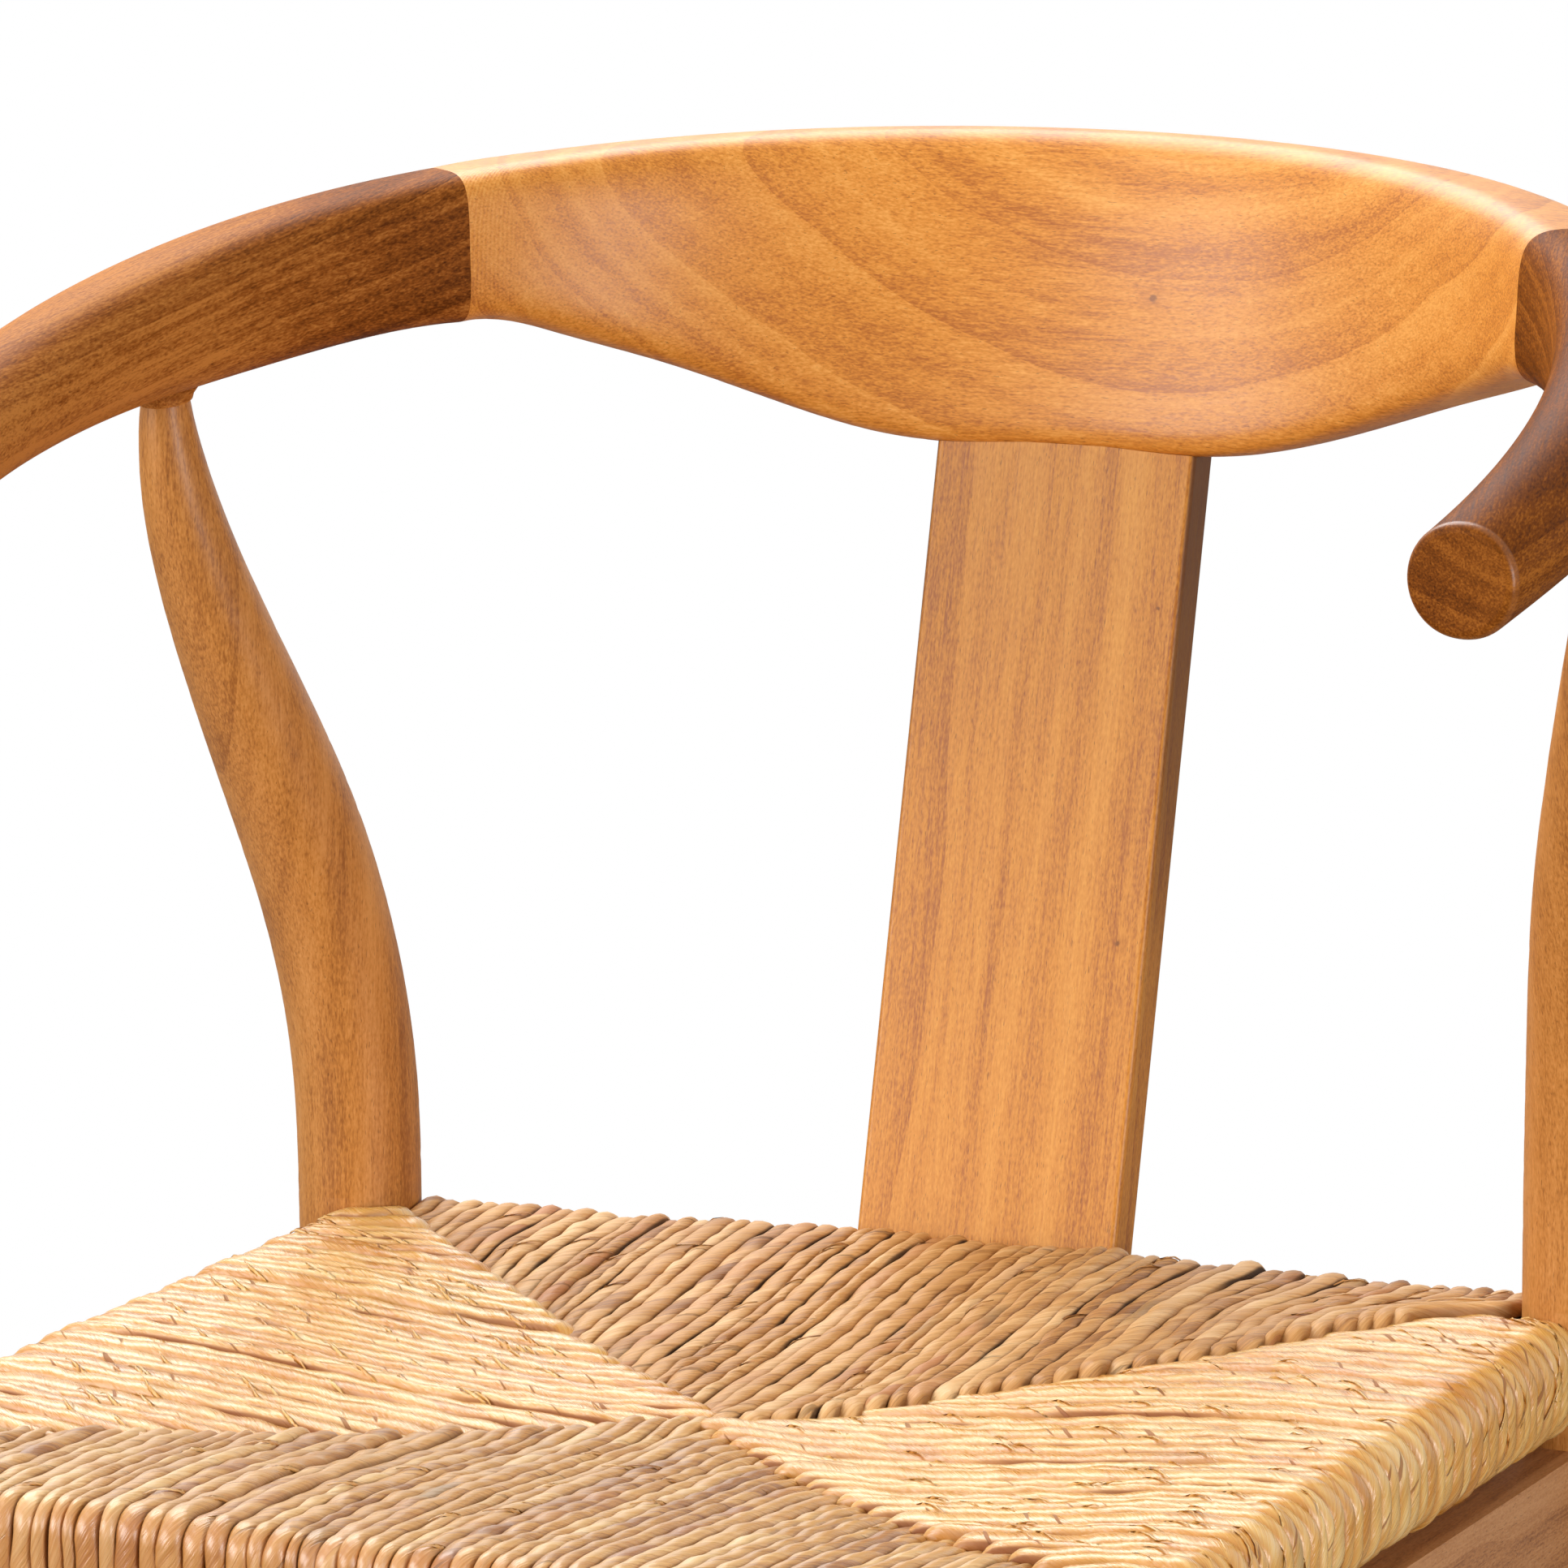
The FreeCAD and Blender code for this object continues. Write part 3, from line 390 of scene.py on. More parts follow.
def wood(name, tones, grain, heart, lengthways, band, contrast=1.0, gloss=0.3, coat=0.12, rough=0.44,
         knots=(), ripple=None, paler=None, cut=None, painted_sides=None):
    """A wood finish: its growth rings lie round the heart, a point in the piece's space."""
    material, shader, start = new_finish(name)
    pale, middle, dark = tones
    deep = [v * DEEP for v in dark[:3]] + [1]
    place = start.place()
    along = along_grain(place, grain, heart)
    wander, late, wide = growth_rings(along, lengthways, band)
    streak = along.scaled(STREAK_SCALE).noise(1.0, 3.0, 0.6)
    cloud = along.scaled(CLOUD_SCALE).noise(1.0, 3.0)
    fibre, fleck = mark(along, *FIBRE, 2.0), mark(along, *FLECK, 1.0)
    pore = mark(along, *PORE, 1.0).step(*PORE_STEP)
    tone = (wide - 0.5) * (WIDE_SHARE * contrast) - late * (LATE_SHARE * contrast)
    tone = tone + (streak - 0.5) * (STREAK_SHARE * contrast) + (cloud - 0.5) * CLOUD_SHARE
    tone = tone + (fibre - 0.5) * FIBRE_SHARE + (fleck - 0.5) * FLECK_SHARE + MIDDLE_TONE
    height = fibre * FIBRE_RELIEF + fleck * FLECK_RELIEF - pore * PORE_RELIEF
    if paler:
        begin, end, amount = paler
        tone = tone + (1 - place.axis(1).step(begin, end)) * amount - amount / 3
    if ripple:
        waves = ripple_marks(place, wander, streak, cloud, *ripple)
        tone, height = tone + waves * RIPPLE_SHARE, height + waves * RIPPLE_RELIEF
    colour = tone.ramp([(0.0, dark), (0.5, middle), (1.0, pale)])
    colour = (pore * PORE_SHADE).mix(colour, deep)
    for knot in knots:
        colour = add_knot(colour, place, fleck, knot, deep, dark)
    # Painted shade on the side faces of the board
    if painted_sides:
        colour = painted_side_shade(place, *painted_sides).mix(colour, deep)
    if cut:
        face, rim = cut_end(place, *cut)
        colour = (face * cloud.step(0.35, 0.65) * END_PALE).mix(colour, pale)
        # Painted highlight: the rounded rim of the cut end is paler
        colour = (rim * RIM_PAINTED_HIGHLIGHT).mix(colour, pale)
        coat = rim * RIM_COAT + coat
    feed(shader, Base_Color=colour, Roughness=(fibre - 0.5) * 0.2 + (cloud - 0.5) * 0.14 + rough,
         Normal=height.bump(WOOD_BUMP, WOOD_RELIEF), Coat_Weight=coat,
         Coat_Roughness=WOOD_COAT_ROUGHNESS, Specular_IOR_Level=gloss)
    return material


print("fibres", FIBRE[0], "m wide, pores", PORE[0], "m wide")

# %% [markdown]
# The crest is carved from a broad board whose rings arch across it. The splat, posts and rails are cut
# along the grain, so their bands run straight. The aprons and rails at the sides get greyer, darker tones
# than the posts: painted shade and a painted reflection of the pale floor on their outer faces.

# %% Honey woods
CREST_TONES = tints((234, 164, 80), (216, 139, 52), (176, 100, 32))
SPLAT_TONES = tints((216, 150, 67), (199, 130, 48), (158, 90, 29))
POST_TONES = tints((206, 143, 77), (188, 124, 58), (148, 89, 37))
# Painted shade and a painted reflection of the pale floor: the side rails' tones are greyer and darker than
# the posts'
SIDE_PAINTED_LIGHT_TONES = tints((194, 138, 90), (176, 118, 70), (138, 86, 48))

crest_wood = wood("honey_crest", CREST_TONES, grain=(1, 0, 0), heart=(0.03, 0.22, 1.10), lengthways=1.0,
                  band=0.03, contrast=0.95, coat=0.2, rough=0.47,
                  knots=[(0.0255, 0.238, 0.9464, 0.0018)], ripple=(-0.178, -0.158, 0.0009))
# The splat gets painted shade on its side faces, darker towards the crest
splat_wood = wood("honey_splat", SPLAT_TONES, grain=(0, 0.26, 1), heart=(-0.085, 0.25, 0.7),
                  lengthways=0.02, band=0.030,
                  knots=[(0.0375, 0.2134, 0.8499, 0.0009), (0.035, 0.1857, 0.7455, 0.0012)],
                  painted_sides=((0.0434, 0.0444), (0.72, 0.88)))
frame_wood = wood("honey_frame", POST_TONES, grain=(0, 0, 1), heart=(-0.31, 0.02, 0.7), lengthways=0.02,
                  band=0.034)
rail_wood = wood("honey_rails", POST_TONES, grain=(1, 0, 0), heart=(0.1, 0.0, 0.5), lengthways=0.02,
                 band=0.02)
# The side rails' finish holds that painted shade and reflection
side_painted_light_wood = wood("honey_side_rails", SIDE_PAINTED_LIGHT_TONES, grain=(0, 1, 0), heart=(0.0, 0.0, 0.5), lengthways=0.02,
                 band=0.02)
print("five honey woods")

# %% [markdown]
# The arms are stained red-brown, the right one darker, and each ends in a flat cut.
# The plane of that cut is measured on the arm's own faces, so the rim follows the frame.

# %% Brown arms
ARM_END_DEPTH = 12 * MM
ARM_TONES = {"left": tints((190, 122, 56), (146, 82, 29), (92, 46, 10)),
             "right": tints((160, 94, 32), (116, 60, 13), (72, 33, 4))}
ARM_PALER = {"left": (0.03, 0.15, 0.5), "right": None}
SIDES = {"left": -1, "right": 1}


def arm_cut(arm):
    """Centre and direction of the flat end of an arm, measured on its own faces."""
    front = min(face.center.y for face in arm.data.polygons)
    flat = [face for face in arm.data.polygons
            if face.normal.y < -0.9 and face.center.y < front + ARM_END_DEPTH]
    size = sum(face.area for face in flat)
    centre = sum((face.center * face.area for face in flat), Vector()) / size
    facing = sum((face.normal * face.area for face in flat), Vector()).normalized()
    print(arm.name, "ends at", [round(v, 4) for v in centre], "facing", [round(v, 3) for v in facing])
    return centre, facing


arm_woods = {}
for side_name, side in SIDES.items():
    arm_woods[side_name] = wood(
        f"brown_{side_name}_arm", ARM_TONES[side_name], grain=(side * 62.5, -264.6, -54.0),
        heart=(side * 0.27, 0.1, 1.16), lengthways=0.02, band=0.02, contrast=0.9, gloss=0.05, coat=0.0,
        rough=0.5, paler=ARM_PALER[side_name], cut=arm_cut(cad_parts[f"{side_name}_arm"]))

# %% [markdown]
# The seat is stuffed with dry straw between its two layers, and each foot stands on a felt glide.
# Both hardly show, so each has a plain finish, mottled between two colours.


# %% Straw stuffing and floor glides
def mottled(name, low, high, scale, rough):
    """A plain finish, mottled between two colours."""
    material, shader, start = new_finish(name)
    spots = start.place().scaled(scale).noise(1.0, 3.0)
    feed(shader, Base_Color=spots.step(0.3, 0.7).mix(low, high), Roughness=(spots - 0.5) * 0.2 + rough,
         Normal=spots.bump(0.3, 0.5 * MM))
    return material


stuffing = mottled("dry_straw", tint(150, 104, 54), tint(214, 172, 108), (80, 900, 900), rough=0.7)
glide_felt = mottled("glide_felt", tint(62, 50, 40), tint(88, 74, 62), (2400, 2400, 2400), rough=0.85)
print("two plain finishes")

# %% [markdown]
# Every piece of the frame takes the finish whose grain runs along it: posts and legs upright, front and
# rear rails across the stool, side rails from front to back.

# %% Finishes on the frame's own pieces
ONE_PIECE_FINISHES = {"crest_rail": crest_wood, "back_splat": splat_wood, "seat_stuffing": stuffing}
SIDE_PIECES = [f"{side_name}_{kind}" for side_name in SIDES for kind in ("apron", "seat_rail", "stretcher")]

for name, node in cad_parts.items():
    if name in ONE_PIECE_FINISHES:
        finish = ONE_PIECE_FINISHES[name]
    elif name.endswith("_arm"):
        finish = arm_woods[name.split("_")[0]]
    elif name.endswith("_glide"):
        finish = glide_felt
    elif name in SIDE_PIECES:
        finish = side_painted_light_wood
    elif name.endswith(("_apron", "_rail", "_stretcher")):
        finish = rail_wood
    else:
        finish = frame_wood
    for slot in node.material_slots:
        slot.material = finish
print("dressed", len(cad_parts), "nodes")

# %% [markdown]
# Where a rear post meets the arm, the arm swells down in a short collar, carved with it, that flares into
# its underside. A disc is drawn up along the post in rings. Each ring reaches further to the rear than the
# last, under the rising arm, and the last one ends inside it.

# %% Arm collars
COLLAR_FOOT = Vector((242.3, 66.2, 920.5)) * MM
COLLAR_RADIUS, COLLAR_RISE, COLLAR_SUNK = 8.6 * MM, 5.0 * MM, 6.0 * MM
COLLAR_FLARE = -1.5 * MM, 20.0 * MM
COLLAR_TURN, COLLAR_TILT = math.radians(9.5), math.radians(12.0)
COLLAR_STEPS, COLLAR_POINTS = 6, 48
COLLAR_CREASE = math.radians(40)


def arm_collar(side_name, side):
    """The collar of one arm; the flare is how much wider and longer its last ring is."""
    bpy.ops.object.select_all(action="DESELECT")
    bpy.ops.mesh.primitive_circle_add(vertices=COLLAR_POINTS, radius=COLLAR_RADIUS, fill_type="NGON")
    collar = bpy.context.object
    collar.name = f"{side_name}_arm_collar"
    bpy.ops.object.mode_set(mode="EDIT")
    bpy.ops.mesh.select_all(action="SELECT")
    across, along, high = COLLAR_RADIUS, COLLAR_RADIUS, 0.0
    for step in range(1, COLLAR_STEPS + 1):
        turn = math.pi / 2 * step / COLLAR_STEPS
        rise = COLLAR_RISE * math.sin(turn) - high
        wider, longer = (COLLAR_RADIUS + flare * (1 - math.cos(turn)) for flare in COLLAR_FLARE)
        bpy.ops.mesh.extrude_region_move(TRANSFORM_OT_translate={"value": (0, 0, rise)})
        high += rise
        bpy.ops.transform.resize(value=(wider / across, longer / along, 1),
                                 center_override=(0, -COLLAR_RADIUS, high))
        across, along = wider, longer
    bpy.ops.mesh.extrude_region_move(TRANSFORM_OT_translate={"value": (0, 0, COLLAR_SUNK)})
    bpy.ops.mesh.select_all(action="SELECT")
    bpy.ops.mesh.normals_make_consistent(inside=False)
    bpy.ops.object.mode_set(mode="OBJECT")
    collar.rotation_euler = (COLLAR_TILT, 0, side * COLLAR_TURN)
    collar.location = (side * COLLAR_FOOT.x, COLLAR_FOOT.y, COLLAR_FOOT.z)
    bpy.ops.object.transform_apply(location=True, rotation=True, scale=True)
    bpy.ops.object.shade_smooth_by_angle(angle=COLLAR_CREASE)
    collar.data.materials.append(arm_woods[side_name])
    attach(collar, "root")
    print(collar.name, len(collar.data.polygons), "faces")


for side_name, side in SIDES.items():
    arm_collar(side_name, side)

# %% [markdown]
# The seat is wound from twisted rush leaves. A cord goes over one rail, up through the middle, over the next
# rail, and so on round the seat, which leaves four triangular panels that meet along mitre lines.
# At each mitre one panel's cords hook down over the ends of the other's: the left over the rear, the rear
# over the right, the right over the front and the front over the left.
# Over two hundred cords lie side by side and each differs, so they are made in mesh code, as tubes that
# follow the wound path: in along the top, round the outside of the rail, and back along the underside.
# Sizes of the rush are in millimetres.

# %% Rush panels
SEAT = 650.0
SEAT_CORNERS = {"rear_left": (-201.0, 140.4), "rear_right": (201.0, 140.4),
                "front_right": (204.0, -253.6), "front_left": (-204.0, -253.6)}
SEAT_MIDDLE = np.array((0.0, -56.6))
# Each panel: its name, the corner where its cords lie over the neighbour's and the one where they lie
# under, the cords in each half, and how far from the corner lines the legs and the mitres leave room for
# the first cord
PANELS = (("rear", "rear_right", "rear_left", 29, 10.5, 8.0),
          ("left", "rear_left", "front_left", 23, 20.0, 12.0),
          ("front", "front_left", "front_right", 32, 10.5, 8.0),
          ("right", "front_right", "rear_right", 23, 20.0, 12.0))
# How far the mitres stray towards the rear, from each corner (0) to the middle (1)
MITRE_SHIFT = {"rear_left": ((0, 1), (-9, 0)),
               "rear_right": ((0, 0.12, 0.35, 1), (9, 10, -4, 0)),
               "front_left": ((0, 0.2, 0.45, 1), (30, 30, 6, 0)),
               "front_right": ((0, 0.2, 0.38, 1), (20, 18, 6, 0))}
# How far the cords nearest a corner lean along the rail towards the middle, and over which run
FAN_LEAN, FAN_RUN = {"rear_right": 30.0}, 50.0
FAN_START, LEAST_FAN_RUN = 2, 10.0
MIN_REACH = 2.0
print("panels of", [2 * panel[3] for panel in PANELS], "cords")

# %% [markdown]
# The straw between the layers pushes the top of the seat up unevenly: it stands high along the rear rail and
# one rear mitre, and low along the other. The swells are a few points with a height each, and the height
# anywhere else is their average, weighted by nearness.

# %% Padding
# Swells and hollows of the padding, as x, y and height
SWELLS = np.array([(0, -57, -1), (-129, 60, -3), (-87, 22, -1), (-173, 105, 0), (22, -33, 1), (62, 2, 2),
                   (101, 38, 5), (130, 64, 4.5), (190, 122, 4), (-144, -190, 3.5), (-107, -157, 2.5),
                   (-80, -130, 1), (-55, -103, 0), (50, -100, -1), (98, -146, -2), (-215, 60, 2),
                   (-215, -60, 2), (215, 60, 1.5), (215, -60, 1.5), (215, -180, 1), (-180, 150, 3),
                   (-60, 155, 5), (55, 155, 5), (150, 155, 3.5), (-117, -262, 0.5), (0, -262, -2),
                   (100, -262, -2.5)])
SWELL_SPREAD, SWELL_FADE = 48.0, 0.05


def swell(points):
    """Height that the padding adds at points of the seat's plan."""
    apart = ((points[:, None, :] - SWELLS[None, :, :2]) ** 2).sum(axis=2)
    weights = np.exp(-apart / (2 * SWELL_SPREAD ** 2))
    return (weights * SWELLS[:, 2]).sum(axis=1) / (weights.sum(axis=1) + SWELL_FADE)


padding = swell(SWELLS[:, :2])
print("padding adds", round(padding.min(), 1), "to", round(padding.max(), 1), "mm")

# %% [markdown]
# Seen from the side, a cord comes up at the mitre, sags a little on its way out, bends over the rail, drops
# down the outside and returns below. A cord that lies over its neighbours ends in a hook that dips between
# them, and one that lies under ends a little lower.

# %% Path of a cord
CORD_HALF_HEIGHT = 3.3
RUSH_THICKNESS, RUSH_EDGE = 34.0, 13.1
RUSH_ROUND = {"rear": 9.5, "left": 9.5, "right": 9.5, "front": 6.5}
SEAT_SAG, SAG_START, SAG_RUN = 9.5, 0.0, 170.0
OVER_REACH, UNDER_REACH = 1.5, 5.0
OVER_RISE, UNDER_DIP, DIP_RUN = 1.0, 2.2, 26.0
HOOK_REACH, HOOK_FALL, HOOK_DROP, HOOK_TIP = 4.5, 6.5, 5.0, 0.2
TOP_STEP, LEAST_TOP_ROWS = 2.6, 8
LOWER_STEP, LEAST_LOWER_ROWS = 7, 4
BEND_ROWS, HOOK_ROWS, SIDE_ROWS = 5, 5, 4


def soft_step(values):
    """0 below 0, 1 above 1, and a soft slope between."""
    values = np.clip(values, 0, 1)
    return values * values * (3 - 2 * values)


def top_run(mitre, over, start):
    """Inward distance and height of a cord along the top, from the mitre out to the bend."""
    reach = mitre + (OVER_REACH if over else UNDER_REACH)
    inward = np.linspace(reach, start, max(int((reach - start) / TOP_STEP), LEAST_TOP_ROWS))
    near = soft_step((inward - mitre + DIP_RUN) / DIP_RUN)
    sag = SEAT_SAG * soft_step((inward - SAG_START) / SAG_RUN)
    height = -CORD_HALF_HEIGHT - sag + near * (OVER_RISE if over else -UNDER_DIP)
    if over:
        hook = np.linspace(0, math.pi / 2, HOOK_ROWS + 1)[1:]
        inward = np.concatenate([(reach + HOOK_REACH * np.sin(hook))[::-1], inward])
        height = np.concatenate([(height[0] - HOOK_FALL * (1 - np.cos(hook)))[::-1], height])
        inward = np.concatenate([[inward[0] + HOOK_TIP], inward])
        height = np.concatenate([[height[0] - HOOK_DROP], height])
    return inward, height


def cord_profile(mitre, over, bend):
    """Inward distance, height and share of the top layer, from the top mitre round to the lower one."""
    start = bend - RUSH_EDGE
    inward, height = top_run(mitre, over, start)
    turn = np.linspace(0, math.pi / 2, BEND_ROWS + 2)[1:-1]
    lower_rows = max(int(mitre / LOWER_STEP), LEAST_LOWER_ROWS)
    lower_run = np.linspace(start, max(mitre, start + MIN_REACH), lower_rows)
    layers = np.concatenate([np.ones(len(inward)), np.linspace(1, 0, 2 * BEND_ROWS + SIDE_ROWS),
                             np.zeros(lower_rows)])
    low = CORD_HALF_HEIGHT - RUSH_THICKNESS
    upper, lower = -CORD_HALF_HEIGHT - bend, low + bend
    inward = np.concatenate([inward, start - bend * np.sin(turn), [-RUSH_EDGE] * SIDE_ROWS,
                             start - bend * np.cos(turn), lower_run])
    height = np.concatenate([height, upper + bend * np.cos(turn), np.linspace(upper, lower, SIDE_ROWS),
                             lower - bend * np.sin(turn), [low] * lower_rows])
    return inward, height, layers


print("a cord that reaches in 100 mm has", len(cord_profile(100.0, True, RUSH_ROUND["rear"])[0]), "rings")

# %% [markdown]
# In plan, the cords of a panel leave the rail side by side and run straight in to the mitre. Where a leg
# takes up the corner they start beside it, and near one rear corner they lean away from it like a fan.


# %% Course of a cord
def cord_course(panel, number, shares):
    """Corner and directions of a panel, and the path and width of one of its cords."""
    name, over_corner, under_corner, half_cords, leg_clear, mitre_clear = panel
    a, b = np.array(SEAT_CORNERS[over_corner]), np.array(SEAT_CORNERS[under_corner])
    length = np.linalg.norm(b - a)
    rail = (b - a) / length
    inner = np.array([-rail[1], rail[0]])
    if inner @ (SEAT_MIDDLE - a) < 0:
        inner = -inner
    middle_run, depth = rail @ (SEAT_MIDDLE - a), inner @ (SEAT_MIDDLE - a)
    over = number < half_cords
    corner = over_corner if over else under_corner
    half = middle_run if over else length - middle_run
    share, fullness = shares[number]
    at_rail = leg_clear + (half - leg_clear) * share
    at_mitre = mitre_clear + (half - mitre_clear) * share
    at_mitre += FAN_LEAN.get(corner, 0.0) * (1 - share) ** 2 * over
    shift = np.interp(share, *MITRE_SHIFT[corner])
    if corner.startswith("rear") == (name in ("rear", "front")):
        shift = -shift
    mitre = max(depth * at_mitre / half + shift, MIN_REACH)
    inward, height, layers = cord_profile(mitre, over, RUSH_ROUND[name])
    fan = soft_step((inward - FAN_START) / min(FAN_RUN, max(mitre, LEAST_FAN_RUN)))
    sideways = at_rail + (at_mitre - at_rail) * fan
    if not over:
        sideways = length - sideways
    return (a, rail, inner), (inward, height, layers, sideways), (half - leg_clear) * fullness


HALFWAY = [(0.5, 0.03)]
reach = cord_course(PANELS[0], 0, HALFWAY)[1][0].max()
print("halfway to the middle, a rear cord reaches in", round(reach), "mm")

# %% [markdown]
# No two cords are alike: each has its own width, thickness and height, wavers a little along its run, and
# shows its twist as two lobes that wind round it. Random numbers with a fixed seed give these differences.

# %% Rush cords
CORD_OVERLAP = 1.08
CORD_SQUARENESS = 0.8
CORD_SIDES = 12
TWIST_PITCH = 34.0
WAVE_SHARES, WAVE_SUM = (1.0, 0.53, 0.31), 1.2
# Length and size of the waves in each direction, and of those in width and thickness
SIDE_WAVE, HEIGHT_WAVE, WIDTH_WAVE, THICK_WAVE = (70, 0.3), (55, 0.25), (45, 0.05), (38, 0.05)
HEIGHT_SPREAD, THICK_SPREAD = 0.45, 0.06
WIDTH_RANGE, LOBE_RANGE, TWIST_RANGE = (0.9, 1.06), (0.03, 0.09), (0.8, 1.2)


def wave(rng, run, length, size):
    """A slow random wave along a run."""
    total = np.zeros_like(run)
    for share in WAVE_SHARES:
        total += share * np.sin(2 * math.pi * run / (length * share) + rng.uniform(0, 2 * math.pi))
    return total * size / WAVE_SUM


def squared(values):
    """A sine or cosine, pushed out towards a square."""
    return np.sign(values) * np.abs(values) ** CORD_SQUARENESS


def cord_rings(panel, number, rng, common, shares):
    """Rings of points of one cord, with the distance along it."""
    (corner, rail, inner), (inward, height, layers, sideways), pitch = cord_course(panel, number, shares)
    gone = np.concatenate([[0], np.cumsum(np.hypot(np.diff(inward), np.diff(height)))])
    sideways = sideways + common(inward) + wave(rng, gone, *SIDE_WAVE)
    height = height + rng.normal(0, HEIGHT_SPREAD) + wave(rng, gone, *HEIGHT_WAVE)
    height = height + swell(corner + sideways[:, None] * rail + inward[:, None] * inner) * layers
    along_in, along_up = np.gradient(inward), np.gradient(height)
    size = np.hypot(along_in, along_up)
    out_in, out_up = along_up / size, -along_in / size
    turn = np.arange(CORD_SIDES) * 2 * math.pi / CORD_SIDES
    width = pitch / 2 * CORD_OVERLAP * rng.uniform(*WIDTH_RANGE) * (1 + wave(rng, gone, *WIDTH_WAVE))
    thick = CORD_HALF_HEIGHT * rng.normal(1, THICK_SPREAD) * (1 + wave(rng, gone, *THICK_WAVE))
    lobe_size = rng.uniform(*LOBE_RANGE)
    twist, begin = TWIST_PITCH * rng.uniform(*TWIST_RANGE), rng.uniform(0, 6)
    lobes = 1 + lobe_size * np.cos(2 * turn[None, :] - 4 * math.pi * gone[:, None] / twist + begin)
    lateral = squared(np.sin(turn))[None, :] * width[:, None] * lobes
    outward = squared(-np.cos(turn))[None, :] * thick[:, None] * lobes
    deep = inward[:, None] + outward * out_in[:, None]
    flat = corner + (sideways[:, None] + lateral)[..., None] * rail + deep[..., None] * inner
    up = SEAT + height[:, None] + outward * out_up[:, None]
    return np.concatenate([flat, up[..., None]], axis=2) * MM, gone * MM


print("cords have", CORD_SIDES, "sides and a twist of about", TWIST_PITCH, "mm")

# %% [markdown]
# Here and there the end of a leaf works loose and stands off its cord. Such a tip is a thin flat tube
# that lies in the winding direction, sinks into the cord at one end and lifts and narrows towards the other.

# %% Loose leaf tips
TIP_ROWS, TIP_LIFT, TIP_WIDTH, TIP_THICKNESS = 7, 1.8 * MM, 1.3 * MM, 0.25 * MM
TIP_TAPER, TIP_END = 0.6, 0.1 * MM
TIP_TURN, TIP_SIDE = 0.9, (-1.5, 0.5)
TIP_FIRST_ROW, TIP_DEPTH = 8, 15
CROWN = CORD_SIDES // 2


def leaf_tip(rings, rng):
    """Rings of a loose leaf tip and the row where it begins, or nothing where the cord is too short."""
    rows = [row for row in range(TIP_FIRST_ROW, len(rings) - TIP_ROWS)
            if rings[row, CROWN, 2] > (SEAT - TIP_DEPTH) * MM]
    if not rows:
        return None
    begin, side = rng.choice(rows), rng.uniform(*TIP_SIDE)
    reach = np.linspace(0, 1, TIP_ROWS)[::rng.choice((-1, 1))]
    made = []
    for row, far in enumerate(reach):
        ring = rings[begin + row]
        k = CROWN + side + TIP_TURN * (row - TIP_ROWS / 2)
        low, part = int(k), k - int(k)
        point = ring[low] * (1 - part) + ring[low + 1] * part
        out = point - ring.mean(axis=0)
        out = out / np.linalg.norm(out)
        across = ring[low - 1] - ring[low + 1]
        across = across / np.linalg.norm(across)
        middle = point + out * (TIP_LIFT * far ** 2 - TIP_THICKNESS)
        wide = TIP_WIDTH * (1 - far) ** TIP_TAPER + TIP_END
        made.append([middle - out * TIP_THICKNESS, middle + across * wide, middle + out * TIP_THICKNESS,
                     middle - across * wide])
    return np.array(made), begin


print("a leaf tip has", 4 * (TIP_ROWS - 1) + 2, "faces")

# %% [markdown]
# Cords and leaf tips are both rings of points, so one function closes either into a tube. Its UV map holds
# the length along the cord and the turn round it, which the rush finish reads.


# %% Tubes
def add_tube(lists, rings, along, turns, tone):
    """Adds a closed tube to a mesh's lists, with the length at each ring and the turn at each side."""
    points, faces, uvs, tones = lists
    first, sides = sum(len(p) for p in points), rings.shape[1]
    points.append(rings.reshape(-1, 3))
    tones.append(np.full(len(points[-1]), tone))
    for row in range(len(rings) - 1):
        near, far = first + row * sides, first + (row + 1) * sides
        for k in range(sides):
            after = (k + 1) % sides
            faces.append((near + k, near + after, far + after, far + k))
            uvs += [along[row], turns[k], along[row], turns[k + 1],
                    along[row + 1], turns[k + 1], along[row + 1], turns[k]]
    for row, order in ((0, -1), (len(rings) - 1, 1)):
        faces.append(tuple(first + row * sides + k for k in range(sides))[::order])
        uvs += [along[row], turns[sides // 2]] * sides


def add_piece(name, lists):
    """A smooth object made from a mesh's lists."""
    points, faces, uvs, tones = lists
    mesh = bpy.data.meshes.new(name)
    mesh.from_pydata(np.concatenate(points).tolist(), [], faces)
    mesh.uv_layers.new(name="cord").data.foreach_set("uv", uvs)
    mesh.attributes.new("tone", "FLOAT", "POINT").data.foreach_set("value", np.concatenate(tones))
    mesh.polygons.foreach_set("use_smooth", [True] * len(faces))
    piece = bpy.data.objects.new(name, mesh)
    bpy.context.collection.objects.link(piece)
    return piece


print("tubes ready")

# %% [markdown]
# A panel is woven cord by cord. Each half of it shares out its width among cords of uneven fullness, and
# all cords of a panel waver together a little, as they press on each other.
# The four panels take the place of the plain solid of the seat.

# %% Woven panels
TIPS_PER_CORD = {"rear": 0.8, "front": 0.5, "left": 2.4, "right": 2.4}
TIP_TURNS = np.array([0.5, 0.46, 0.5, 0.54, 0.5])
FULLNESS_SPREAD, FULLNESS_RANGE = 0.2, (0.65, 1.5)
# Size and length of the two waves that all cords of a panel share
COMMON_WAVES = (0.3, 21), (0.4, 47)
FIRST_SEED, TIP_SEED = 11, 50


def cord_shares(rng, half_cords):
    """Middle and width of each cord as shares of half a panel, from either corner to the middle."""
    shares = []
    for half in range(2):
        fullness = np.clip(rng.normal(1, FULLNESS_SPREAD, half_cords), *FULLNESS_RANGE)
        fullness /= fullness.sum()
        middles = np.cumsum(fullness) - fullness / 2
        shares += list(zip(middles, fullness))[::-1 if half else 1]
    return shares


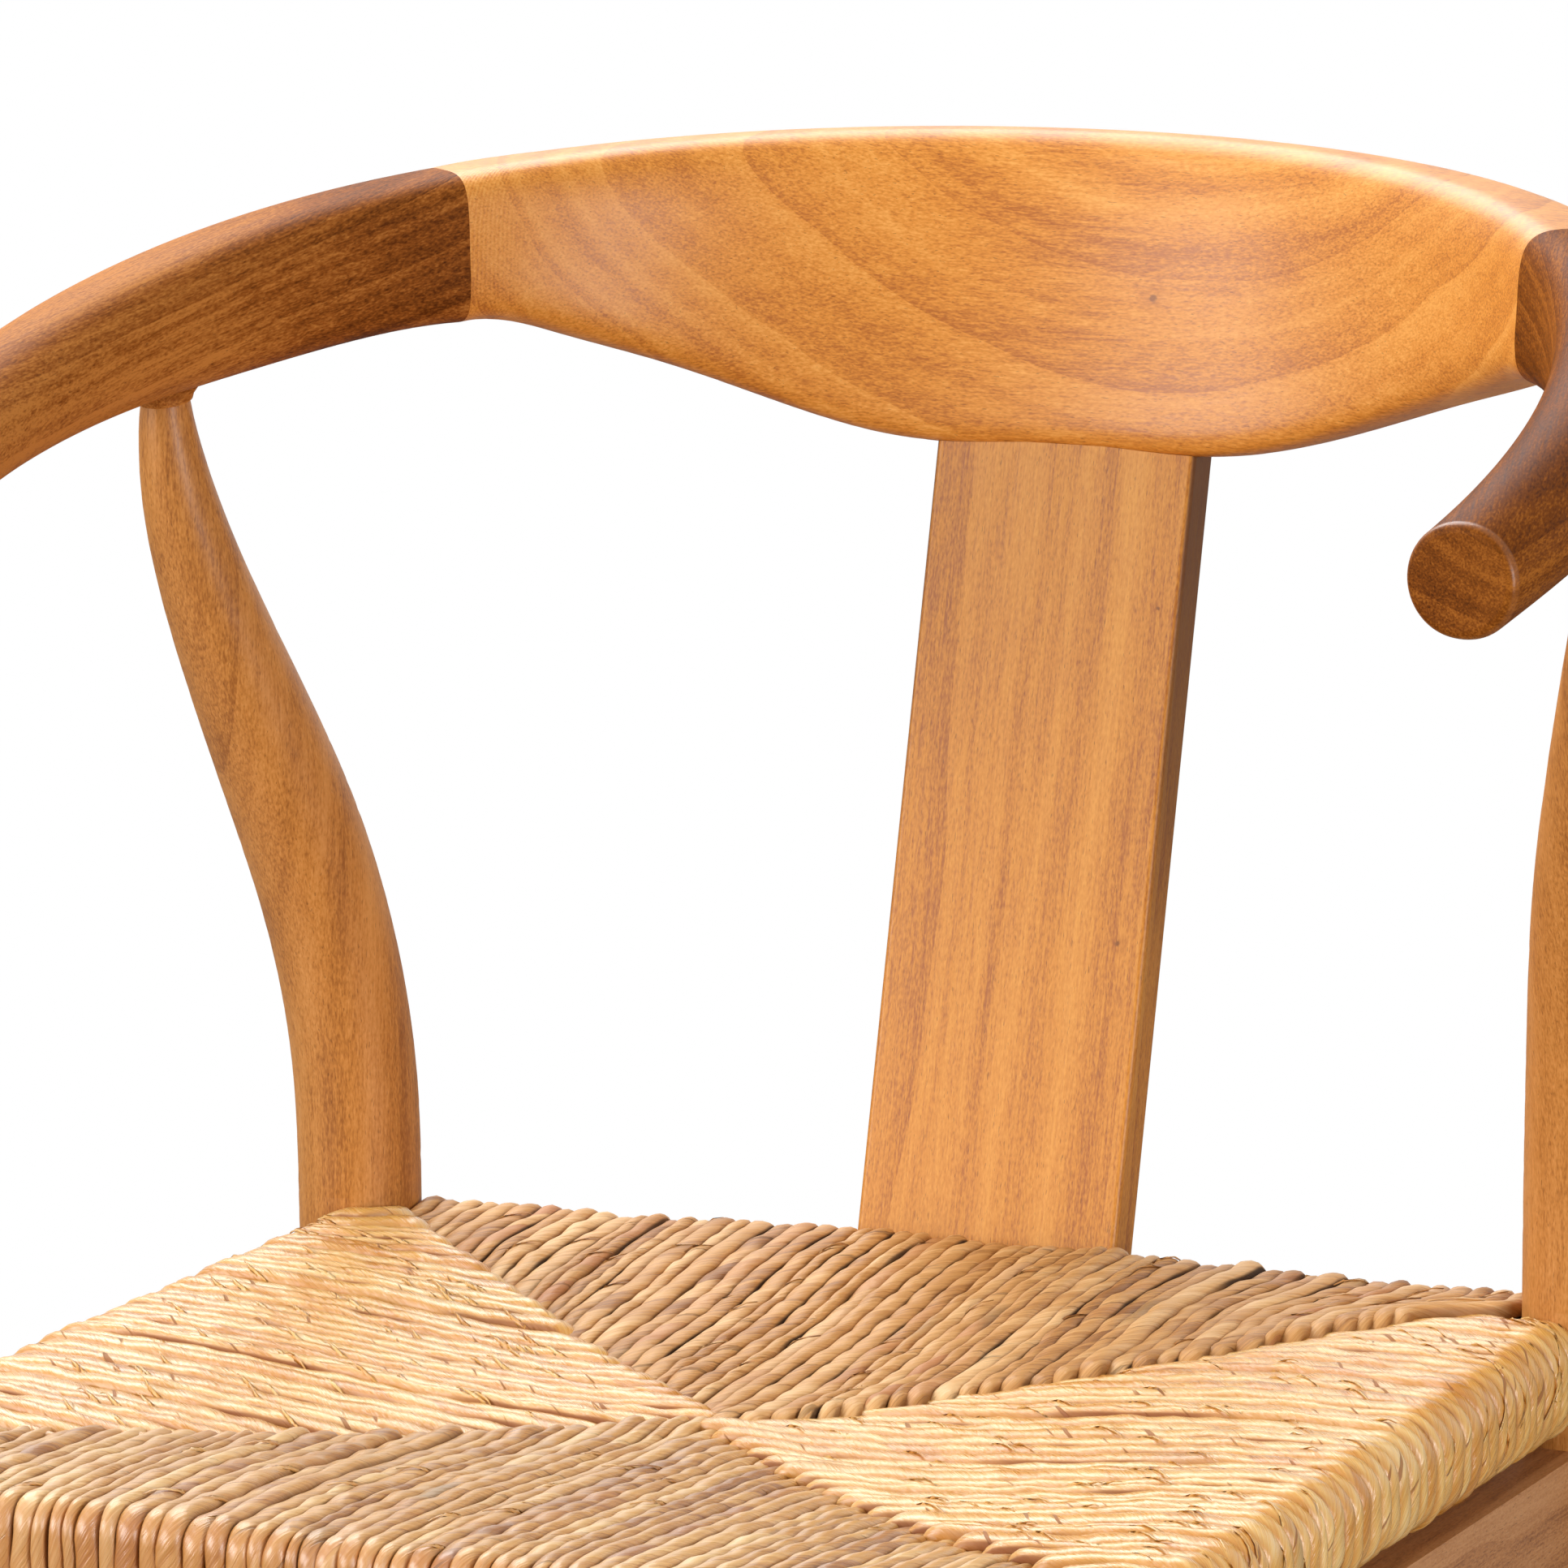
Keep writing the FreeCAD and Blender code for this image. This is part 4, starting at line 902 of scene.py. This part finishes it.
def weave_panel(panel, seed):
    """One panel of cords as a single piece, with a tone for each cord."""
    rng, tip_rng = np.random.default_rng(seed), np.random.default_rng(seed + TIP_SEED)
    # Two of these three draws are used; the third stays, so that the draws after it don't change
    phases = rng.uniform(0, 6, 3)

    def common(inward):
        return sum(size * np.sin(inward / length + phase)
                   for (size, length), phase in zip(COMMON_WAVES, phases))

    name, half_cords = panel[0], panel[3]
    shares = cord_shares(rng, half_cords)
    lists = [], [], [], []
    total = 0.0
    for number in range(2 * half_cords):
        rings, gone = cord_rings(panel, number, rng, common, shares)
        total += gone[-1]
        gone = gone + rng.uniform(0, 3)
        add_tube(lists, rings, gone, number + np.arange(CORD_SIDES + 1) / CORD_SIDES, rng.uniform())
        for _ in range(tip_rng.poisson(TIPS_PER_CORD[name])):
            tip = leaf_tip(rings, tip_rng)
            if tip:
                add_tube(lists, tip[0], gone[tip[1]:], number + TIP_TURNS, tip_rng.uniform())
    piece = add_piece(f"rush_{name}", lists)
    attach(piece, "root")
    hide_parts("woven_seat")
    print(piece.name, len(piece.data.polygons), "faces,", round(total, 1), "m of cord")
    return piece


rush_panels = {panel[0]: weave_panel(panel, seed) for seed, panel in enumerate(PANELS, FIRST_SEED)}

# %% [markdown]
# Rush leaves dry to straw, tan, pink and a little olive. Twisted into a cord they lie as long bands that
# wind round it, with fine lines along each leaf and painted shade in the crease where one leaf overlaps the
# next.
# The UV map of a cord holds its length and the turn round it, so the difference of the two, each in turns
# of the twist, is a coordinate that winds with the leaves.

# %% Rush finish
LEAVES = 2.0
LEAF_BEND = 1.5
# Painted shadow fills the gaps between cords, from these turns off the crown, with at least this share
GAP_SHADOW_TURNS, LEAST_GAP_SHADOW = (0.12, 0.19), 0.1
# Of these shares, the stain is a real olive stain; the others are painted shade in leaf creases, towards the
# gaps and on the front roll
STAIN_SHADE, CREASE_PAINTED_SHADE, GAP_PAINTED_SHADE, ROLL_PAINTED_SHADE = 0.6, 0.4, 0.6, 0.5
RUSH_BUMP, RUSH_RELIEF = 0.6, 1.0 * MM
RUSH_COAT_ROUGHNESS = 0.25
TONE_OUTPUT = 2


def rush(name, tones, rough, gloss, coat, blush, tears, gap_shade_turns, gap_shadow_share, shaded_roll=None):
    """A twisted leaf cord; painted shade darkens it between two turns from its crown, towards the gaps
    between cords.
    """
    material, shader, start = new_finish(name)
    pale, straw, tan, pink, brown, olive, dark = tones
    cord = start.node("ShaderNodeUVMap", {"uv_map": "cord"})
    tone = start.node("ShaderNodeAttribute", {"attribute_name": "tone"}, out=TONE_OUTPUT)
    length, turn, field = cord.axis(0), cord.axis(1), start.field
    off_crown = (turn.by("FRACT") - 0.5).by("ABSOLUTE")

    # In each field, factors of length are steps for each metre of cord, and those of tone set cords apart
    bend = field(length * 9.0, tone * 40.0).noise(1.0, 1.0) - 0.5
    wound = turn * LEAVES - length * (LEAVES / (TWIST_PITCH * MM)) + bend * LEAF_BEND
    leaf, leaf_number = wound.by("FRACT"), wound.by("FLOOR")
    pick = field(length * 9.0, tone * 61.0, leaf_number.by("PINGPONG", 1.0) * 5.3)
    shade, hue = pick.noise(1.0, 1.0), pick.scaled((0.5, 1.7, 1.3)).noise(1.0, 1.0)
    broad = field(length * 26.0, wound * 4.0, tone * 7.0).noise(1.0, 3.0, 0.6)
    lines = field(length * 30.0, wound * 18.0, tone * 7.0).noise(1.0, 3.0, 0.75)
    wrinkle = field(length * 380.0 + turn * 6.0, turn * 3.0, tone * 7.0).noise(1.0, 2.0)
    creased = field(length * 30.0, turn * 1.5, tone * 19.0).noise(1.0, 1.0).step(0.5, 0.66)
    slant = turn * 2.0 - length * 90.0
    tear = field(length * 40.0, slant * 3.0, tone * 9.0).noise(1.0, 1.0).step(0.71, 0.75)
    # Patches where the painted shadow in the gaps is deeper
    gap_shadow_patches = field(length * 16.0, tone * 33.0).noise(1.0, 1.0).step(0.46, 0.62)
    stain = field(length * 11.0, tone * 77.0, turn * 0.6).noise(1.0, 1.0).step(0.69, 0.78)
    edge = (1 - leaf.step(0.0, 0.07)) * shade.step(0.3, 0.6)
    mixed = (shade - 0.5) * 1.5 + (broad - 0.5) * 1.0 + (lines - 0.5) * 1.5 + (tone - 0.5) * 0.5 + 0.5

    colour = mixed.ramp([(0.0, brown), (0.3, tan), (0.65, straw), (1.0, pale)])
    colour = (hue.step(0.56, 0.72) * blush).mix(colour, pink)
    colour = (stain * STAIN_SHADE).mix(colour, olive)
    # Painted shade in the crease where one leaf overlaps the next
    colour = (edge * CREASE_PAINTED_SHADE).mix(colour, brown)
    # Painted shade, in brown, towards the gaps between cords
    colour = (off_crown.step(*gap_shade_turns) * GAP_PAINTED_SHADE).mix(colour, brown)
    # Painted shade on the outer face of the front roll, which the lamps light less than the top
    if shaded_roll:
        begin, end, roll_shade_colour = shaded_roll
        colour = ((1 - start.place().axis(1).step(begin, end)) * ROLL_PAINTED_SHADE).mix(colour, roll_shade_colour)
    torn = tear * tears
    # Painted shadow, dark, in the gaps between cords; the torn slits are real marks
    between = off_crown.step(*GAP_SHADOW_TURNS) * (gap_shadow_patches * gap_shadow_share + LEAST_GAP_SHADOW)
    colour = between.mix(torn.mix(colour, dark), dark)
    dull = torn.by("MAXIMUM", between)
    height = lines * 0.35 + broad * 1.3 + leaf * 0.6 + wrinkle * creased * 0.4 - tear * 0.8
    feed(shader, Base_Color=colour, Roughness=(lines - 0.5) * 0.4 + dull * 0.5 + rough,
         Normal=height.bump(RUSH_BUMP, RUSH_RELIEF), Specular_IOR_Level=gloss,
         Coat_Weight=(1 - dull) * coat, Coat_Roughness=RUSH_COAT_ROUGHNESS)
    return material


print("a leaf winds once in", TWIST_PITCH, "mm")

# %% [markdown]
# The left and right panels are pale straw with a soft shine. All four panels are one rush; the side panels'
# paler tones are partly painted light, the brightness that the lamps give cords running across the stool.
# The rear panel is tan and dull, with painted shadow in the gaps between its cords. The front one is tan
# with a shine, and painted shade makes the outer face of its roll over the rail darker and warmer.

# %% Rush colours
# Pale, straw, tan, pink, brown, olive and dark; brown is also painted shade in creases and towards gaps, and
# dark is also painted shadow in the gaps as well as the colour of tears
TAN_TONES = tints((234, 193, 138), (213, 162, 101), (193, 138, 76), (184, 116, 76), (150, 98, 48),
                  (120, 100, 68), (44, 24, 10))
FRONT_TONES = tints((236, 197, 134), (217, 167, 99), (197, 143, 74), (190, 126, 76), (158, 104, 54),
                    (124, 104, 72), (62, 36, 16))
# The straw tones are partly painted light: the lamps make cords that run across the stool look paler
STRAW_PAINTED_LIGHT_TONES = tints((236, 198, 132), (229, 179, 98), (216, 156, 72), (219, 163, 94), (196, 129, 46),
                    (172, 136, 82), (140, 78, 28))
# Painted shade on the front roll: where it starts and ends along Y, and its colour
FRONT_ROLL_PAINTED_SHADE = (-0.268, -0.262, tint(195, 118, 51))

tan_rush = rush("tan_rush", TAN_TONES, rough=0.45, gloss=0.4, coat=0.0, blush=0.55, tears=0.4,
                gap_shade_turns=(0.12, 0.22), gap_shadow_share=0.85)
front_rush = rush("front_rush", FRONT_TONES, rough=0.34, gloss=0.8, coat=0.3, blush=0.35, tears=0.4,
                  gap_shade_turns=(0.14, 0.24), gap_shadow_share=0.3, shaded_roll=FRONT_ROLL_PAINTED_SHADE)
straw_painted_light_rush = rush("straw_painted_light_rush", STRAW_PAINTED_LIGHT_TONES, rough=0.28, gloss=0.7, coat=0.3, blush=0.2, tears=0.8,
                  gap_shade_turns=(0.05, 0.15), gap_shadow_share=0.85)
RUSH_FINISHES = {"rear": tan_rush, "front": front_rush, "left": straw_painted_light_rush, "right": straw_painted_light_rush}
for name, piece in rush_panels.items():
    piece.data.materials.append(RUSH_FINISHES[name])
print("rush finishes", len(set(RUSH_FINISHES.values())))
